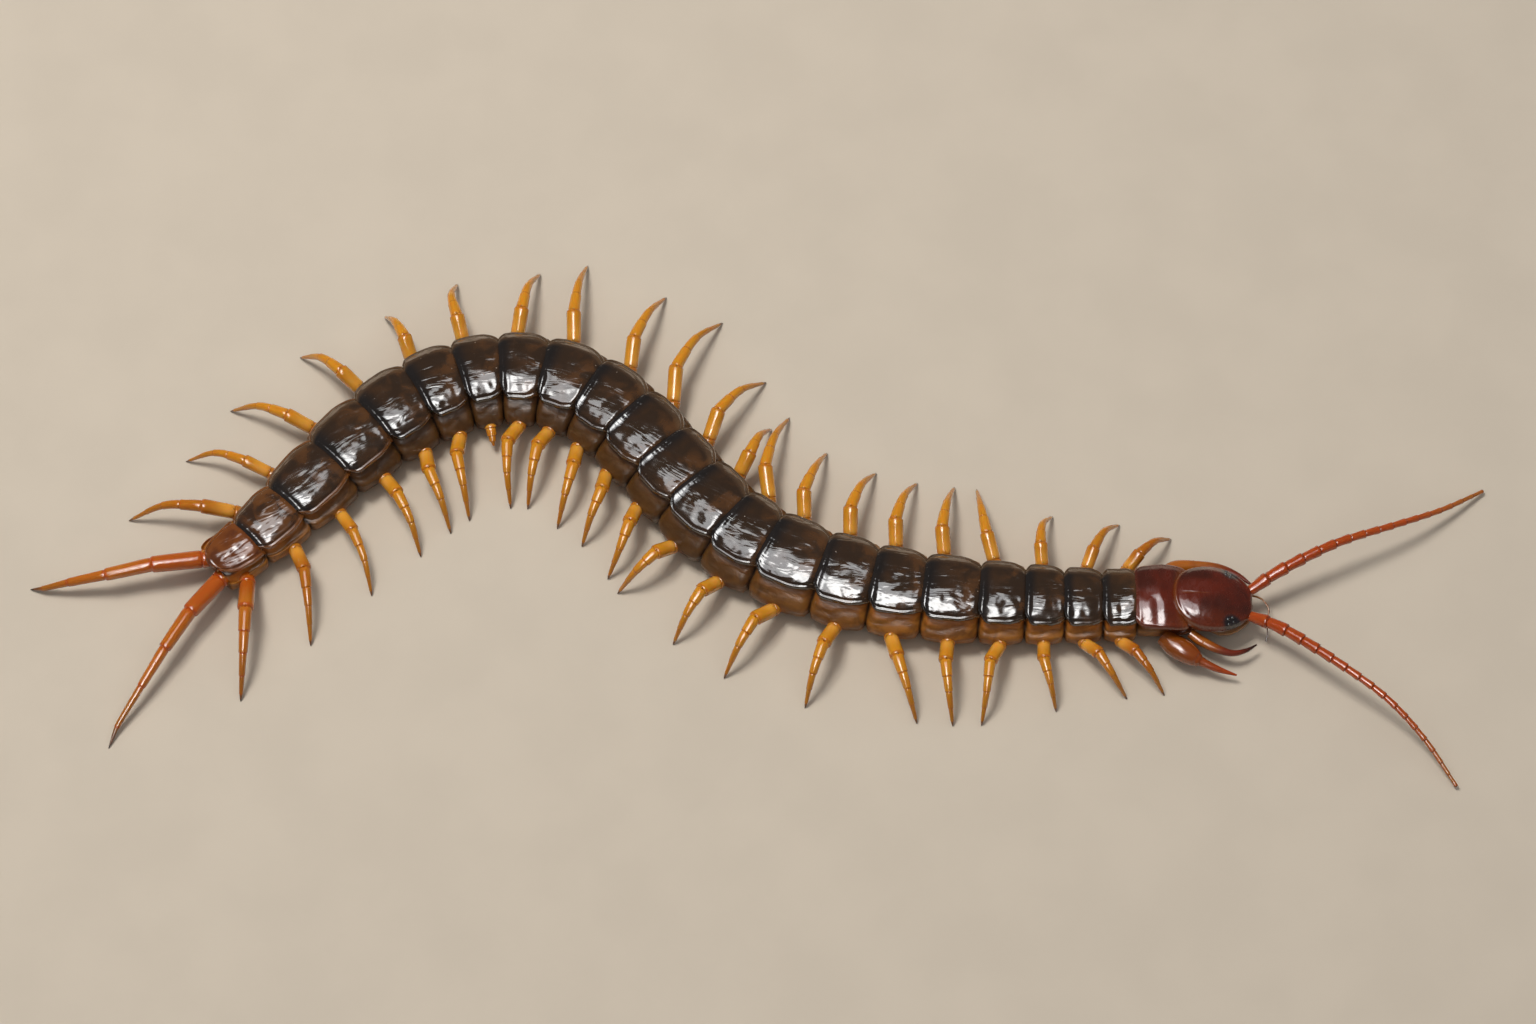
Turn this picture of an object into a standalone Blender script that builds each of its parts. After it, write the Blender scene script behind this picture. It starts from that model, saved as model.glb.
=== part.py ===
"""A large tropical centipede, life size, at rest in an S-curve on a flat surface.

+X runs from the tail to the head, +Z is up, and the claws of the legs stand on z = 0.
"Near" is the side towards -Y and "far" the side towards +Y.
Lengths in the tables are millimetres; everything that Blender gets is metres.
"""
import math

import bmesh
import bpy
from mathutils import Vector

MM = 0.001
GAP = 0.3                        # clearance between a piece and what it grows from

# Trunk: one row for each back plate from the head to the tail.
# length along the body, turn of the body's heading over it (degrees), half-width of the plate
SEGMENTS = [
    (5.2, 0.0, 4.05),
    (3.8, -0.5, 3.55),
    (4.3, -1.0, 3.65),
    (4.4, -1.5, 3.8),
    (5.1, -2.0, 3.95),
    (6.3, -3.0, 4.1),
    (5.8, -4.5, 4.2),
    (6.0, -6.5, 4.35),
    (6.6, -10.0, 4.4),
    (5.4, -12.0, 4.45),
    (6.0, -9.0, 4.5),
    (5.7, -0.5, 4.5),
    (5.9, 4.8, 4.5),
    (5.7, 14.0, 4.45),
    (5.8, 19.5, 4.4),
    (5.1, 15.5, 4.4),
    (4.8, 14.7, 4.4),
    (5.4, 12.0, 4.45),
    (6.1, 11.0, 4.35),
    (6.8, 6.5, 4.1),
    (7.2, 1.5, 3.7),
    (5.9, -4.0, 3.2),
    (5.1, -7.0, 2.75),
]
LAST = len(SEGMENTS)
NECK = (46.8, -12.8)             # front end of the first back plate, in plan
TAILWARD = 180.0                 # heading of the body there, towards the tail
CENTRE = (-1.06, -0.8)           # middle of the animal's plan box, moved to the origin

# The trunk's pieces, each a few back plates long.
LENGTHS = [(1, 1), (2, 4), (5, 7), (8, 10), (11, 13), (14, 16), (17, 19), (20, 23)]

# Heights at a plate of the standard half-width.
STANDARD = 4.1
RIM_HEIGHT = 5.3
RIM_HEIGHT_PER_WIDTH = 0.8
ARCH_PER_WIDTH = 0.28
ARCH_POWER = 3.2                 # flat in the middle of the back, falling away near the rim
RIM_STEP = 0.35                  # thickness of the plate's edge over the flank
CREASE_STEP = 0.9                # extra drop where the rim is drawn in
RIM_UNDERCUT = 0.12
BELLY = 0.5
BELLY_SHARE = 0.35               # half-width of the flat of the belly, as a share of the flank's
UNDERSIDE_TAPER = 0.8

# How far the soft flank stands out past the plates' rim: (place in plates from the head, bulge).
# The body leans a little to the near side, so the flank shows more there.
NEAR_BULGE = [(1.0, 0.35), (6.0, 1.15), (10.0, 1.5), (19.0, 1.5), (23.5, 0.45)]
FAR_BULGE = [(1.0, 0.3), (4.0, 0.5), (19.0, 0.45), (23.5, 0.3)]
NECK_FLANK = 3.5
PINCH = 0.13                     # narrowing of the flank between two segments

# Rings of one plate: place along it, how far the rim is drawn in, how deep the surface dips.
CREASE = (0.60, 0.5)             # rim share and dip of the crease between two plates
PLATE_RINGS = [
    (0.0, *CREASE),
    (0.07, 0.82, 0.12),
    (0.33, 0.98, 0.0),
    (0.67, 1.0, 0.0),
    (0.93, 0.88, 0.0),
]
LAST_RINGS = [
    (0.0, *CREASE),
    (0.07, 0.82, 0.12),
    (0.4, 0.97, 0.0),
    (0.75, 0.8, 0.0),
    (1.0, 0.5, 0.1),
]

HEAD_OVERLAP = 1.3               # how far the middle of the head reaches back over the neck
OVERLAP_HALF = 4.0               # half-width over which it does
FACE_HEIGHT = 2.8                # the head's and the neck's facing ends are upright below this
FACE_BLEND = 1.8
HEAD_BOTTOM = 2.1
# Breast plate under the neck: distance ahead of the neck's front, half-width, bottom and top.
BREAST_RINGS = [
    (-3.6, 2.6, 0.75, 2.2),
    (-1.0, 3.2, 0.6, 1.75),
    (1.4, 2.7, 0.65, 1.65),
    (3.0, 1.5, 0.9, 1.6),
]
# Rings of the first plate: place, rim, dip and how far it follows the head's rear edge.
NECK_FACE = (0.72, 0.95)
NECK_RINGS = [
    (0.0, *NECK_FACE, 1.0),
    (0.1, 0.88, 0.35, 0.95),
    (0.45, 1.0, 0.0, 0.35),
    (0.75, 0.98, 0.0, 0.1),
    (0.94, 0.86, 0.0, 0.0),
]

# Head capsule: distance ahead of the neck, half-width of the shield, height of its rim,
# height of its crown, half-width and lowest height of the part beneath it, and how far the
# ring follows the rounded rear edge.
HEAD_RINGS = [
    (0.4, 3.45, 4.8, 6.3, 3.0, 2.15, 1.0),
    (1.6, 3.8, 4.6, 6.2, 3.2, 2.1, 0.6),
    (3.0, 3.93, 4.45, 5.95, 3.2, 2.05, 0.2),
    (4.5, 3.72, 4.25, 5.55, 3.0, 2.05, 0.0),
    (5.7, 3.23, 4.05, 5.05, 2.6, 2.1, 0.0),
    (6.6, 2.54, 3.92, 4.6, 1.7, 2.2, 0.0),
    (7.35, 1.5, 3.86, 4.3, 0.6, 2.3, 0.0),
    (7.65, 0.7, 3.82, 4.05, 0.25, 2.35, 0.0),
]
EYES = [(4.9, 2.75, 0.24), (5.4, 2.5, 0.22), (5.0, 3.2, 0.2), (5.55, 2.9, 0.2)]
EYE_FACES = 1                    # how often the round eyes are subdivided

# Walking legs: reach in plan, then the swing of thigh, shank and foot towards the head,
# in degrees from straight out sideways.
NEAR_LEGS = {
    2: (7.6, 45, 39, 41),
    3: (7.7, 44, 34, 44),
    4: (7.5, -1, 18, 19),
    5: (9.3, -22, -3, -6),
    6: (9.3, 0, 12, 16),
    7: (10.1, 22, 28, 30),
    8: (9.6, -10, -5, 0),
    9: (9.6, -25, -8, -7),
    10: (8.6, -11, 1, 3),
    11: (8.0, -6, -4, -10),
    12: (8.6, 34, 30, 20),
    13: (8.6, 40, 25, 25),
    14: (9.5, 32, 23, 21),
    15: (9.2, -3, 10, 13),
    16: (9.8, -19, 4, 11),
    18: (9.9, -28, -11, -13),
    19: (9.7, -24, -11, -17),
    20: (9.9, -13, -16, -27),
    21: (10.2, -17, -24, -37),
    22: (11.4, -24, -39, -45),
    23: (13.8, -38, -42, -46),
}
FAR_LEGS = {
    2: (7.5, 43, 44, 56),
    3: (8.1, 21, 27, 46),
    4: (7.9, -7, 2, 32),
    5: (10.6, -21, -13, -9),
    6: (10.2, -13, 3, 11),
    7: (10.1, -13, 5, 19),
    8: (10.1, -17, 3, 16),
    9: (10.4, -28, -5, -2),
    10: (12.5, -46, -24, -12),
    11: (8.0, -16, -26, -16),
    12: (11.4, -30, -12, 1),
    13: (13.8, -43, -20, -5),
    14: (11.8, -28, -13, -6),
    15: (12.0, -18, -12, -5),
    16: (10.0, 10, 8, 21),
    17: (9.3, -2, -3, 24),
    18: (7.8, 6, 0, -9),
    19: (9.3, -17, -9, -25),
    20: (10.8, -24, -19, -34),
    21: (10.9, -21, -18, -42),
    22: (12.9, -43, -36, -53),
}
STUB = 17                        # the near leg here is lost and growing again
# Limbs with a bend of their own: (x, y, z, radius) at the places that give their shape.
NEAR_CLAW = [
    (44.6, -16.6, 2.4, 1.0),
    (45.7, -17.6, 2.35, 1.28),
    (47.0, -18.4, 2.2, 1.25),
    (48.1, -19.1, 2.0, 0.92),
    (48.7, -19.45, 1.95, 0.62),
    (50.6, -20.3, 1.7, 0.45),
    (52.8, -20.9, 1.3, 0.14),
]
FAR_CLAW = [
    (44.9, -9.0, 2.5, 0.85),
    (46.4, -8.2, 2.6, 0.85),
    (48.7, -8.0, 2.6, 0.62),
    (51.2, -8.2, 2.5, 0.5),
    (53.3, -9.0, 2.3, 0.36),
    (54.9, -10.1, 2.1, 0.14),
]
NEAR_PALP = [
    (47.6, -16.3, 2.7, 0.55),
    (48.9, -17.2, 2.4, 0.6),
    (50.7, -18.1, 2.2, 0.5),
    (52.4, -18.5, 2.0, 0.38),
    (53.9, -18.1, 1.8, 0.26),
    (55.2, -17.3, 1.6, 0.1),
]
FAR_PALP = [
    (50.2, -11.6, 1.5, 0.4),
    (51.6, -11.3, 1.2, 0.42),
    (52.9, -11.5, 1.05, 0.34),
    (54.0, -12.2, 1.0, 0.2),
]

# Antennae: (x, y, z) along their middle line, then (share of the length, radius).
NEAR_FEELER = [
    (54.2, -14.3, 3.1),
    (58.0, -16.5, 4.2),
    (63.7, -20.7, 4.7),
    (69.0, -24.7, 4.0),
    (73.2, -28.9, 2.3),
    (76.8, -34.0, 0.5),
]
FAR_FEELER = [
    (54.4, -11.4, 3.1),
    (58.0, -9.3, 4.3),
    (64.4, -6.2, 4.9),
    (71.5, -3.4, 3.9),
    (77.0, -0.8, 2.2),
    (82.3, 2.4, 0.5),
]
FEELER_ARTICLES = 17
FEELER_RADII = [(0.0, 0.72), (0.12, 0.72), (0.3, 0.56), (0.5, 0.42), (0.85, 0.31), (1.0, 0.22)]
FEELER_CROWDING = 0.92           # articles are a little shorter towards the tip
ARTICLE_ENDS = ((0.04, 0.9), (0.9, 1.06))   # place in the article and swelling there

# Long rear legs: (x, y, z) of the joints after the root, then the radii of each length.
NEAR_TAIL_LEG = [
    (-65.3, -14.0, 3.4),
    (-67.9, -18.4, 3.2),
    (-70.4, -22.7, 2.3),
    (-73.0, -26.9, 0.9),
    (-73.9, -29.3, 0.0),
]
FAR_TAIL_LEG = [
    (-70.0, -8.2, 3.5),
    (-75.2, -9.3, 3.1),
    (-79.6, -9.8, 2.0),
    (-82.5, -10.0, 0.8),
    (-84.1, -9.8, 0.0),
]
TAIL_LEG_RADII = [(0.95, 1.08, 0.96), (0.84, 0.74), (0.62, 0.5), (0.44, 0.34), (0.3, 0.2)]
TAIL_LEG_SPREAD = 1.5
TAIL_LEG_HEIGHT = 2.75

NEAR_ATTACH = 0.5                # place of a near leg's root along its plate
LAST_ATTACH = 0.62               # the same on the last plate
FAR_ATTACH = 0.72                # place of a far leg's root, except near the head
FAR_ATTACH_FRONT = 0.25          # where the first far leg grows from its plate
FAR_ATTACH_STEP = 0.16           # and how much further back each next one does
HIP_HEIGHT = 2.3
KNEE_HEIGHT = 4.1
ANKLE_HEIGHT = 3.4
REACH_SHARES = (0.31, 0.35, 0.34)
FULL_LEG_WIDTH = 4.2             # half-width of a plate whose legs have the full thickness
REAR_LEG_SIZE = {22: 0.98, 23: 1.1}   # the last legs, as a share of that thickness
LEG_SIDES = 6
TIP_RADIUS = 0.2
# Stations of a leg: which length (thigh, shank or foot), place along it, radius.
LEG_STATIONS = [
    (0, 0.0, 0.82),
    (0, 0.42, 0.94),
    (0, 0.94, 0.88),
    (1, 0.06, 0.66),
    (1, 0.93, 0.5),
    (2, 0.06, 0.42),
    (2, 0.6, 0.3),
]
# Stations of the leg that grows again: distance from its root, radius.
STUB_STATIONS = [(0.0, 0.6), (0.8, 0.66), (1.5, 0.42), (2.4, 0.2)]
STUB_DROOP = 0.45

MAROON = (0.11, 0.018, 0.008)
DARK = (0.022, 0.012, 0.007)
RUST = (0.25, 0.05, 0.01)
AMBER = (0.5, 0.17, 0.02)
RED = (0.36, 0.06, 0.012)


def clear_scene():
    """Start from an empty scene."""
    for obj in list(bpy.data.objects):
        bpy.data.objects.remove(obj, do_unlink=True)


def material(name, colour, roughness):
    """One Principled material: polished chitin has no metal in it."""
    mat = bpy.data.materials.new(name)
    mat.use_nodes = True
    shader = mat.node_tree.nodes["Principled BSDF"]
    shader.inputs["Base Color"].default_value = (*colour, 1.0)
    shader.inputs["Roughness"].default_value = roughness
    shader.inputs["Metallic"].default_value = 0.0
    return mat


def lerp(a, b, t):
    """Number a share t of the way from a to b."""
    return a + (b - a) * t


def table(x, rows):
    """Straight-line reading of a small table of (position, value) rows."""
    for (x0, y0), (x1, y1) in zip(rows, rows[1:]):
        if x <= x1:
            return lerp(y0, y1, max(0.0, (x - x0) / (x1 - x0)))
    return rows[-1][1]


def heading(degrees):
    """Unit vector in plan."""
    angle = math.radians(degrees)
    return Vector((math.cos(angle), math.sin(angle), 0.0))


def spine():
    """Where each plate starts: its point in plan and the tailward heading there."""
    starts = []
    point = Vector((NECK[0] - CENTRE[0], NECK[1] - CENTRE[1], 0.0))
    angle = TAILWARD
    for length, turn, _ in SEGMENTS:
        starts.append((point, angle))
        point = point + arc(angle, length, turn)
        angle += turn
    return starts


def arc(angle, length, turn):
    """Chord of an arc that leaves along angle and turns evenly over its length."""
    half = math.radians(turn) / 2
    chord = length * (math.sin(half) / half if half else 1.0)
    return heading(angle + turn / 2) * chord


SPINE = spine()


def station(number, t):
    """Point on the body's plan line, and tailward and far-side directions, at t of a plate."""
    length, turn, _ = SEGMENTS[number - 1]
    point, angle = SPINE[number - 1]
    point = point + arc(angle, length * t, turn * t)
    tailward = heading(angle + turn * t)
    far = Vector((tailward.y, -tailward.x, 0.0))
    return point, tailward, far


def half_width(number, t):
    """Half-width of the plates, running smoothly from plate to plate."""
    rows = [(k + 1.5, row[2]) for k, row in enumerate(SEGMENTS)]
    return table(number + t, [(1.0, SEGMENTS[0][2])] + rows)


def rim_height(width):
    """Height of a plate's rim over the floor: wider plates stand a little higher."""
    return RIM_HEIGHT + RIM_HEIGHT_PER_WIDTH * (width - STANDARD)


def flank(number, t, side):
    """Half-width of the body at the legs' roots; side is -1 for near and 1 for far."""
    if number == 1:
        return NECK_FLANK
    bulge = table(number + t - 0.5, NEAR_BULGE if side < 0 else FAR_BULGE)
    pinch = 1.0 - PINCH * abs(2 * t - 1) ** 6
    return (half_width(number, t) + bulge) * pinch


def section(number, t, rim_share, dip, side):
    """Half cross-section from the crown down to the belly: (sideways, height) points."""
    width = half_width(number, t)
    rim = rim_height(width)
    arch = ARCH_PER_WIDTH * width
    crown = rim + arch - dip
    edge = width * rim_share
    out = flank(number, t, side)

    def on_arch(share):
        return share * edge, crown - arch * (share * rim_share) ** ARCH_POWER

    edge_height = on_arch(1.0)[1]
    step = RIM_STEP + CREASE_STEP * (1.0 - rim_share)
    return [
        on_arch(0.0),
        on_arch(0.42),
        on_arch(0.78),
        (edge, edge_height),
        (edge - RIM_UNDERCUT, edge_height - step),
        (lerp(width, out, 0.4), rim - 1.0),
        (out, HIP_HEIGHT + 0.85),
        (out, HIP_HEIGHT - 0.8),
        (out - UNDERSIDE_TAPER, 0.75),
        (out * BELLY_SHARE, BELLY),
        (0.0, BELLY),
    ]


def ring(number, t, rim_share, dip, nudge=0.0):
    """Closed loop of points round the body at one station, clockwise seen from the head."""
    point, tailward, far = station(number, t)
    point = point + tailward * nudge
    loop = []
    for side in (1, -1):
        half = section(number, t, rim_share, dip, side)
        row = [point + far * (side * y) + Vector((0, 0, z)) for y, z in half]
        loop += row if side > 0 else row[-2:0:-1]
    return loop


def loft(name, rings, mat, fan_start=False):
    """Skin a row of equal rings and close both ends, as one body in metres."""
    mesh = bpy.data.meshes.new(name)
    shape = bmesh.new()
    rows = [[shape.verts.new(point * MM) for point in loop] for loop in rings]
    count = len(rows[0])
    for row, following in zip(rows, rows[1:]):
        for i in range(count):
            j = (i + 1) % count
            shape.faces.new((row[i], row[j], following[j], following[i]))
    if fan_start:
        middle = rings[0][0].lerp(rings[0][count // 2], 0.5)
        middle.z = FACE_HEIGHT
        middle = shape.verts.new(middle * MM)
        for i in range(count):
            shape.faces.new((rows[0][(i + 1) % count], rows[0][i], middle))
    else:
        shape.faces.new(rows[0][::-1])
    shape.faces.new(rows[-1])
    bmesh.ops.triangulate(shape, faces=[face for face in shape.faces if len(face.verts) > 4])
    if shape.calc_volume(signed=True) < 0:
        bmesh.ops.reverse_faces(shape, faces=shape.faces)
    shape.to_mesh(mesh)
    shape.free()
    mesh.shade_smooth()
    mesh.set_sharp_from_angle(angle=math.radians(40))
    obj = bpy.data.objects.new(name, mesh)
    obj.data.materials.append(mat)
    bpy.context.scene.collection.objects.link(obj)
    return obj


def join(name, pieces):
    """Fuse closed pieces into the first one and keep its largest closed surface."""
    group = bpy.data.collections.new(name + "_pieces")
    for piece in pieces[1:]:
        group.objects.link(piece)
    boolean = pieces[0].modifiers.new("union", "BOOLEAN")
    boolean.operation = "UNION"
    boolean.operand_type = "COLLECTION"
    boolean.collection = group
    boolean.solver = "EXACT"
    bpy.context.view_layer.update()
    evaluated = pieces[0].evaluated_get(bpy.context.evaluated_depsgraph_get())
    mesh = bpy.data.meshes.new_from_object(evaluated)
    materials = list(pieces[0].data.materials)
    for piece in pieces:
        bpy.data.objects.remove(piece, do_unlink=True)
    bpy.data.collections.remove(group)
    keep_largest(mesh)
    mesh.materials.clear()
    mesh.materials.append(materials[0])
    obj = bpy.data.objects.new(name, mesh)
    bpy.context.scene.collection.objects.link(obj)
    return obj


def keep_largest(mesh):
    """Drop every closed surface of a mesh but its largest."""
    shape = bmesh.new()
    shape.from_mesh(mesh)
    bmesh.ops.triangulate(shape, faces=shape.faces)
    bmesh.ops.remove_doubles(shape, verts=shape.verts, dist=1e-6)
    bmesh.ops.dissolve_degenerate(shape, edges=shape.edges, dist=1e-6)
    left = set(shape.faces)
    islands = []
    while left:
        stack = [left.pop()]
        island = [stack[0]]
        while stack:
            for edge in stack.pop().edges:
                for face in edge.link_faces:
                    if face in left:
                        left.remove(face)
                        stack.append(face)
                        island.append(face)
        islands.append(island)
    islands.sort(key=lambda faces: sum(face.calc_area() for face in faces))
    for island in islands[:-1]:
        bmesh.ops.delete(shape, geom=island, context="FACES")
    loose = [vert for vert in shape.verts if not vert.link_faces]
    bmesh.ops.delete(shape, geom=loose, context="VERTS")
    bmesh.ops.triangulate(shape, faces=shape.faces)
    shape.to_mesh(mesh)
    shape.free()


def frame_of(direction, up=Vector((0, 0, 1))):
    """Two directions square to a limb: sideways, and as near to up as can be."""
    across = direction.cross(up)
    if across.length < 1e-4:
        across = Vector((1, 0, 0))
    across.normalize()
    return across, across.cross(direction).normalized()


def round_ring(point, direction, radius, sides):
    """Regular ring of points square to a direction."""
    across, up = frame_of(direction)
    loop = []
    for i in range(sides):
        angle = 2 * math.pi * (i + 0.5) / sides
        loop.append(point + across * (math.cos(angle) * radius) + up * (math.sin(angle) * radius))
    return loop


def trunk():
    """All lengths of the body behind the head, each one closed skin over its plates."""
    red = material("red_plates", MAROON, 0.25)
    dark = material("dark_plates", DARK, 0.2)
    for first, last in LENGTHS[1:]:
        rings = []
        for number in range(first, last + 1):
            stations = PLATE_RINGS if number < LAST else LAST_RINGS
            for t, rim_share, dip in stations:
                nudge = GAP / 2 if (number == first and t == 0.0) else 0.0
                rings.append(ring(number, t, rim_share, dip, nudge))
        if last < LAST:
            rings.append(ring(last + 1, 0.0, *CREASE, -GAP / 2))
        loft(f"trunk_{first}_to_{last}", rings, dark)
    neck_piece(red)


def scallop(point, far, height, centre, amount):
    """Shift towards the tail of a point near the middle of the back, none at the flanks."""
    sideways = (point - centre).dot(far)
    middle = max(0.0, 1.0 - (sideways / OVERLAP_HALF) ** 2)
    upper = min(1.0, max(0.0, (height - FACE_HEIGHT) / FACE_BLEND))
    return HEAD_OVERLAP * amount * middle * upper


def curved_ring(number, t, rim_share, dip, nudge, amount):
    """Ring of the neck whose back part is carried towards the tail along the head's edge."""
    point, tailward, far = station(number, t)
    loop = ring(number, t, rim_share, dip, nudge)
    return [at + tailward * scallop(at, far, at.z, point, amount) for at in loop]


def neck_piece(mat):
    """First plate, and under it the broad breast plate that carries the poison claws."""
    rings = []
    for t, rim_share, dip, amount in NECK_RINGS:
        nudge = GAP / 2 if t == 0.0 else 0.0
        rings.append(curved_ring(1, t, rim_share, dip, nudge, amount))
    rings.append(ring(2, 0.0, *CREASE, -GAP / 2))
    plate = loft("plate", rings, mat, fan_start=True)
    breast = loft("breast", [breast_ring(*row) for row in BREAST_RINGS], mat)
    join("neck", [plate, breast])


def breast_ring(ahead, half, bottom, top):
    """Flat, round-edged ring of the breast plate."""
    point, tailward, far = station(1, 0.0)
    point = point - tailward * ahead
    middle = (bottom + top) / 2
    outline = [(0, top), (0.7, top), (1, middle + 0.1), (0.85, bottom + 0.1), (0.3, bottom)]
    outline += [(-0.3, bottom), (-0.85, bottom + 0.1), (-1, middle + 0.1), (-0.7, top)]
    return [point + far * (share * half) + Vector((0, 0, z)) for share, z in outline]


def head_section(half, rim, crown, lower, bottom):
    """Half cross-section of the head: its shield, the step beneath the rim and the underside."""
    def on_arch(share):
        return share * half, crown - (crown - rim) * share ** 2.6

    depth = rim - bottom
    return [
        on_arch(0.0),
        on_arch(0.42),
        on_arch(0.78),
        on_arch(1.0),
        (half * 0.97, rim - 0.28),
        (lower, rim - 0.5),
        (lower, rim - depth * 0.45),
        (lower, rim - depth * 0.75),
        (lower * 0.8, bottom + 0.12),
        (lower * 0.35, bottom),
        (0.0, bottom),
    ]


def head_ring(ahead, *sizes):
    """Closed loop of the head at one distance ahead of the neck."""
    *sizes, amount = sizes
    point, tailward, far = station(1, 0.0)
    point = point - tailward * ahead
    half = head_section(*sizes)
    loop = [point + far * y + Vector((0, 0, z)) for y, z in half]
    loop += [point - far * y + Vector((0, 0, z)) for y, z in half[-2:0:-1]]
    return [at + tailward * scallop(at, far, at.z, point, amount) for at in loop]


def head_piece(mat):
    """Head capsule under its shield, with four small eyes on each side."""
    rear = curved_ring(1, 0.0, *NECK_FACE, -GAP / 2, 1.0)
    for at in rear:
        at.z = max(at.z, HEAD_BOTTOM)
    capsule = loft("capsule", [rear] + [head_ring(*row) for row in HEAD_RINGS], mat, fan_start=True)
    point, tailward, far = station(1, 0.0)
    beads = []
    for side in (-1, 1):
        for ahead, sideways, radius in EYES:
            spot = point - tailward * ahead + far * (side * sideways)
            spot.z = shield_height(ahead, sideways)
            beads.append(bead(spot, radius, mat))
    join("head", [capsule] + beads)


def shield_height(ahead, sideways):
    """Height of the head's shield at a place ahead of the neck and off the middle line."""
    half = table(ahead, [(row[0], row[1]) for row in HEAD_RINGS])
    rim = table(ahead, [(row[0], row[2]) for row in HEAD_RINGS])
    crown = table(ahead, [(row[0], row[3]) for row in HEAD_RINGS])
    return crown - (crown - rim) * min(1.0, sideways / half) ** 2.6


def bead(spot, radius, mat):
    """One small round eye."""
    mesh = bpy.data.meshes.new("eye")
    shape = bmesh.new()
    bmesh.ops.create_icosphere(shape, subdivisions=EYE_FACES, radius=radius * MM)
    bmesh.ops.translate(shape, verts=shape.verts, vec=spot * MM)
    shape.to_mesh(mesh)
    shape.free()
    obj = bpy.data.objects.new("eye", mesh)
    obj.data.materials.append(mat)
    bpy.context.scene.collection.objects.link(obj)
    return obj


def spline(points, steps):
    """Smooth curve through a few points; each point is a Vector or a plain number."""
    rows = [points[0] * 2 - points[1]] + list(points) + [points[-1] * 2 - points[-2]]
    curve = []
    for a, b, c, d in zip(rows, rows[1:], rows[2:], rows[3:]):
        for i in range(steps):
            t = i / steps
            curve.append(0.5 * (2 * b + (c - a) * t + (2 * a - 5 * b + 4 * c - d) * t ** 2
                                + (3 * b - a - 3 * c + d) * t ** 3))
    curve.append(points[-1])
    return curve


def directions_between(points):
    """Direction of travel from each point of a path to the next."""
    return [(b - a).normalized() for a, b in zip(points, points[1:])]


def directions(points):
    """Direction of travel at each point of a path."""
    last = len(points) - 1
    return [(points[min(i + 1, last)] - points[max(i - 1, 0)]).normalized() for i in range(last + 1)]


def place(x, y, z):
    """Point of a limb, moved with the rest of the animal."""
    return Vector((x - CENTRE[0], y - CENTRE[1], z))


def horn(name, rows, steps, mat, sides, face):
    """Curved, tapering limb through (x, y, z, radius) rows; face squares its root."""
    path = spline([place(x, y, z) for x, y, z, _ in rows], steps)
    radii = spline([row[3] for row in rows], steps)
    ways = directions(path)
    ways[0] = face
    ways[1] = (ways[1] * 2 + face).normalized()
    return limb(name, list(zip(path, ways, radii)), mat, sides)


def limb(name, stations, mat, sides):
    """Tube through (point, direction, radius) stations."""
    rings = [round_ring(point, direction, radius, sides) for point, direction, radius in stations]
    return loft(name, rings, mat)


def leg_joints(number, attach, side, pose, size):
    """Root, knee, ankle and tip of a walking leg, and the way out of the body at its root."""
    reach, *swings = pose
    point, tailward, far = station(number, attach)
    outward = far * side
    root = point + outward * (flank(number, attach, side) + GAP) + Vector((0, 0, HIP_HEIGHT))
    joints = [root]
    for share, swing, height in zip(REACH_SHARES, swings, (KNEE_HEIGHT * size, ANKLE_HEIGHT * size, 0.0)):
        angle = math.radians(swing)
        step = outward * math.cos(angle) - tailward * math.sin(angle)
        joint = joints[-1] + step * (reach * share)
        joint.z = height
        joints.append(joint)
    return joints, outward


def leg(name, number, attach, side, pose, mat):
    """Walking leg: thigh up to the knee, shank, and a foot that comes down to its claw."""
    size = min(1.0, half_width(number, attach) / FULL_LEG_WIDTH)
    size = REAR_LEG_SIZE.get(number, size)
    joints, outward = leg_joints(number, attach, side, pose, size)
    ways = directions_between(joints)
    rings = []
    for part, place_along, radius in LEG_STATIONS:
        way = ways[part]
        if part == 0 and place_along == 0.0:
            way = outward
        elif part == 0 and place_along < 0.5:
            way = (outward + way * 2).normalized()
        at = joints[part].lerp(joints[part + 1], place_along)
        rings.append(round_ring(at, way, radius * size, LEG_SIDES))
    rings.append(sole(joints[-1], ways[-1]))
    return loft(name, rings, mat)


def sole(tip, foot):
    """Small flat on the floor, its points in step with the rings of the foot."""
    across, up = frame_of(foot)
    ahead = Vector((up.x, up.y, 0.0)).normalized() * (TIP_RADIUS * 1.3)
    loop = []
    for i in range(LEG_SIDES):
        angle = 2 * math.pi * (i + 0.5) / LEG_SIDES
        loop.append(tip + across * (math.cos(angle) * TIP_RADIUS) + ahead * math.sin(angle))
    return loop


def legs():
    """Every walking leg of both sides."""
    mat = material("amber_legs", AMBER, 0.3)
    red = material("red_legs", RED, 0.3)
    for number in range(2, LAST + 1):
        finish = red if number == LAST else mat
        if number in NEAR_LEGS:
            attach = LAST_ATTACH if number == LAST else NEAR_ATTACH
            leg(f"leg_near_{number:02d}", number, attach, -1, NEAR_LEGS[number], finish)
        if number in FAR_LEGS:
            attach = min(FAR_ATTACH, FAR_ATTACH_FRONT + FAR_ATTACH_STEP * (number - 2))
            leg(f"leg_far_{number:02d}", number, attach, 1, FAR_LEGS[number], finish)


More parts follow.
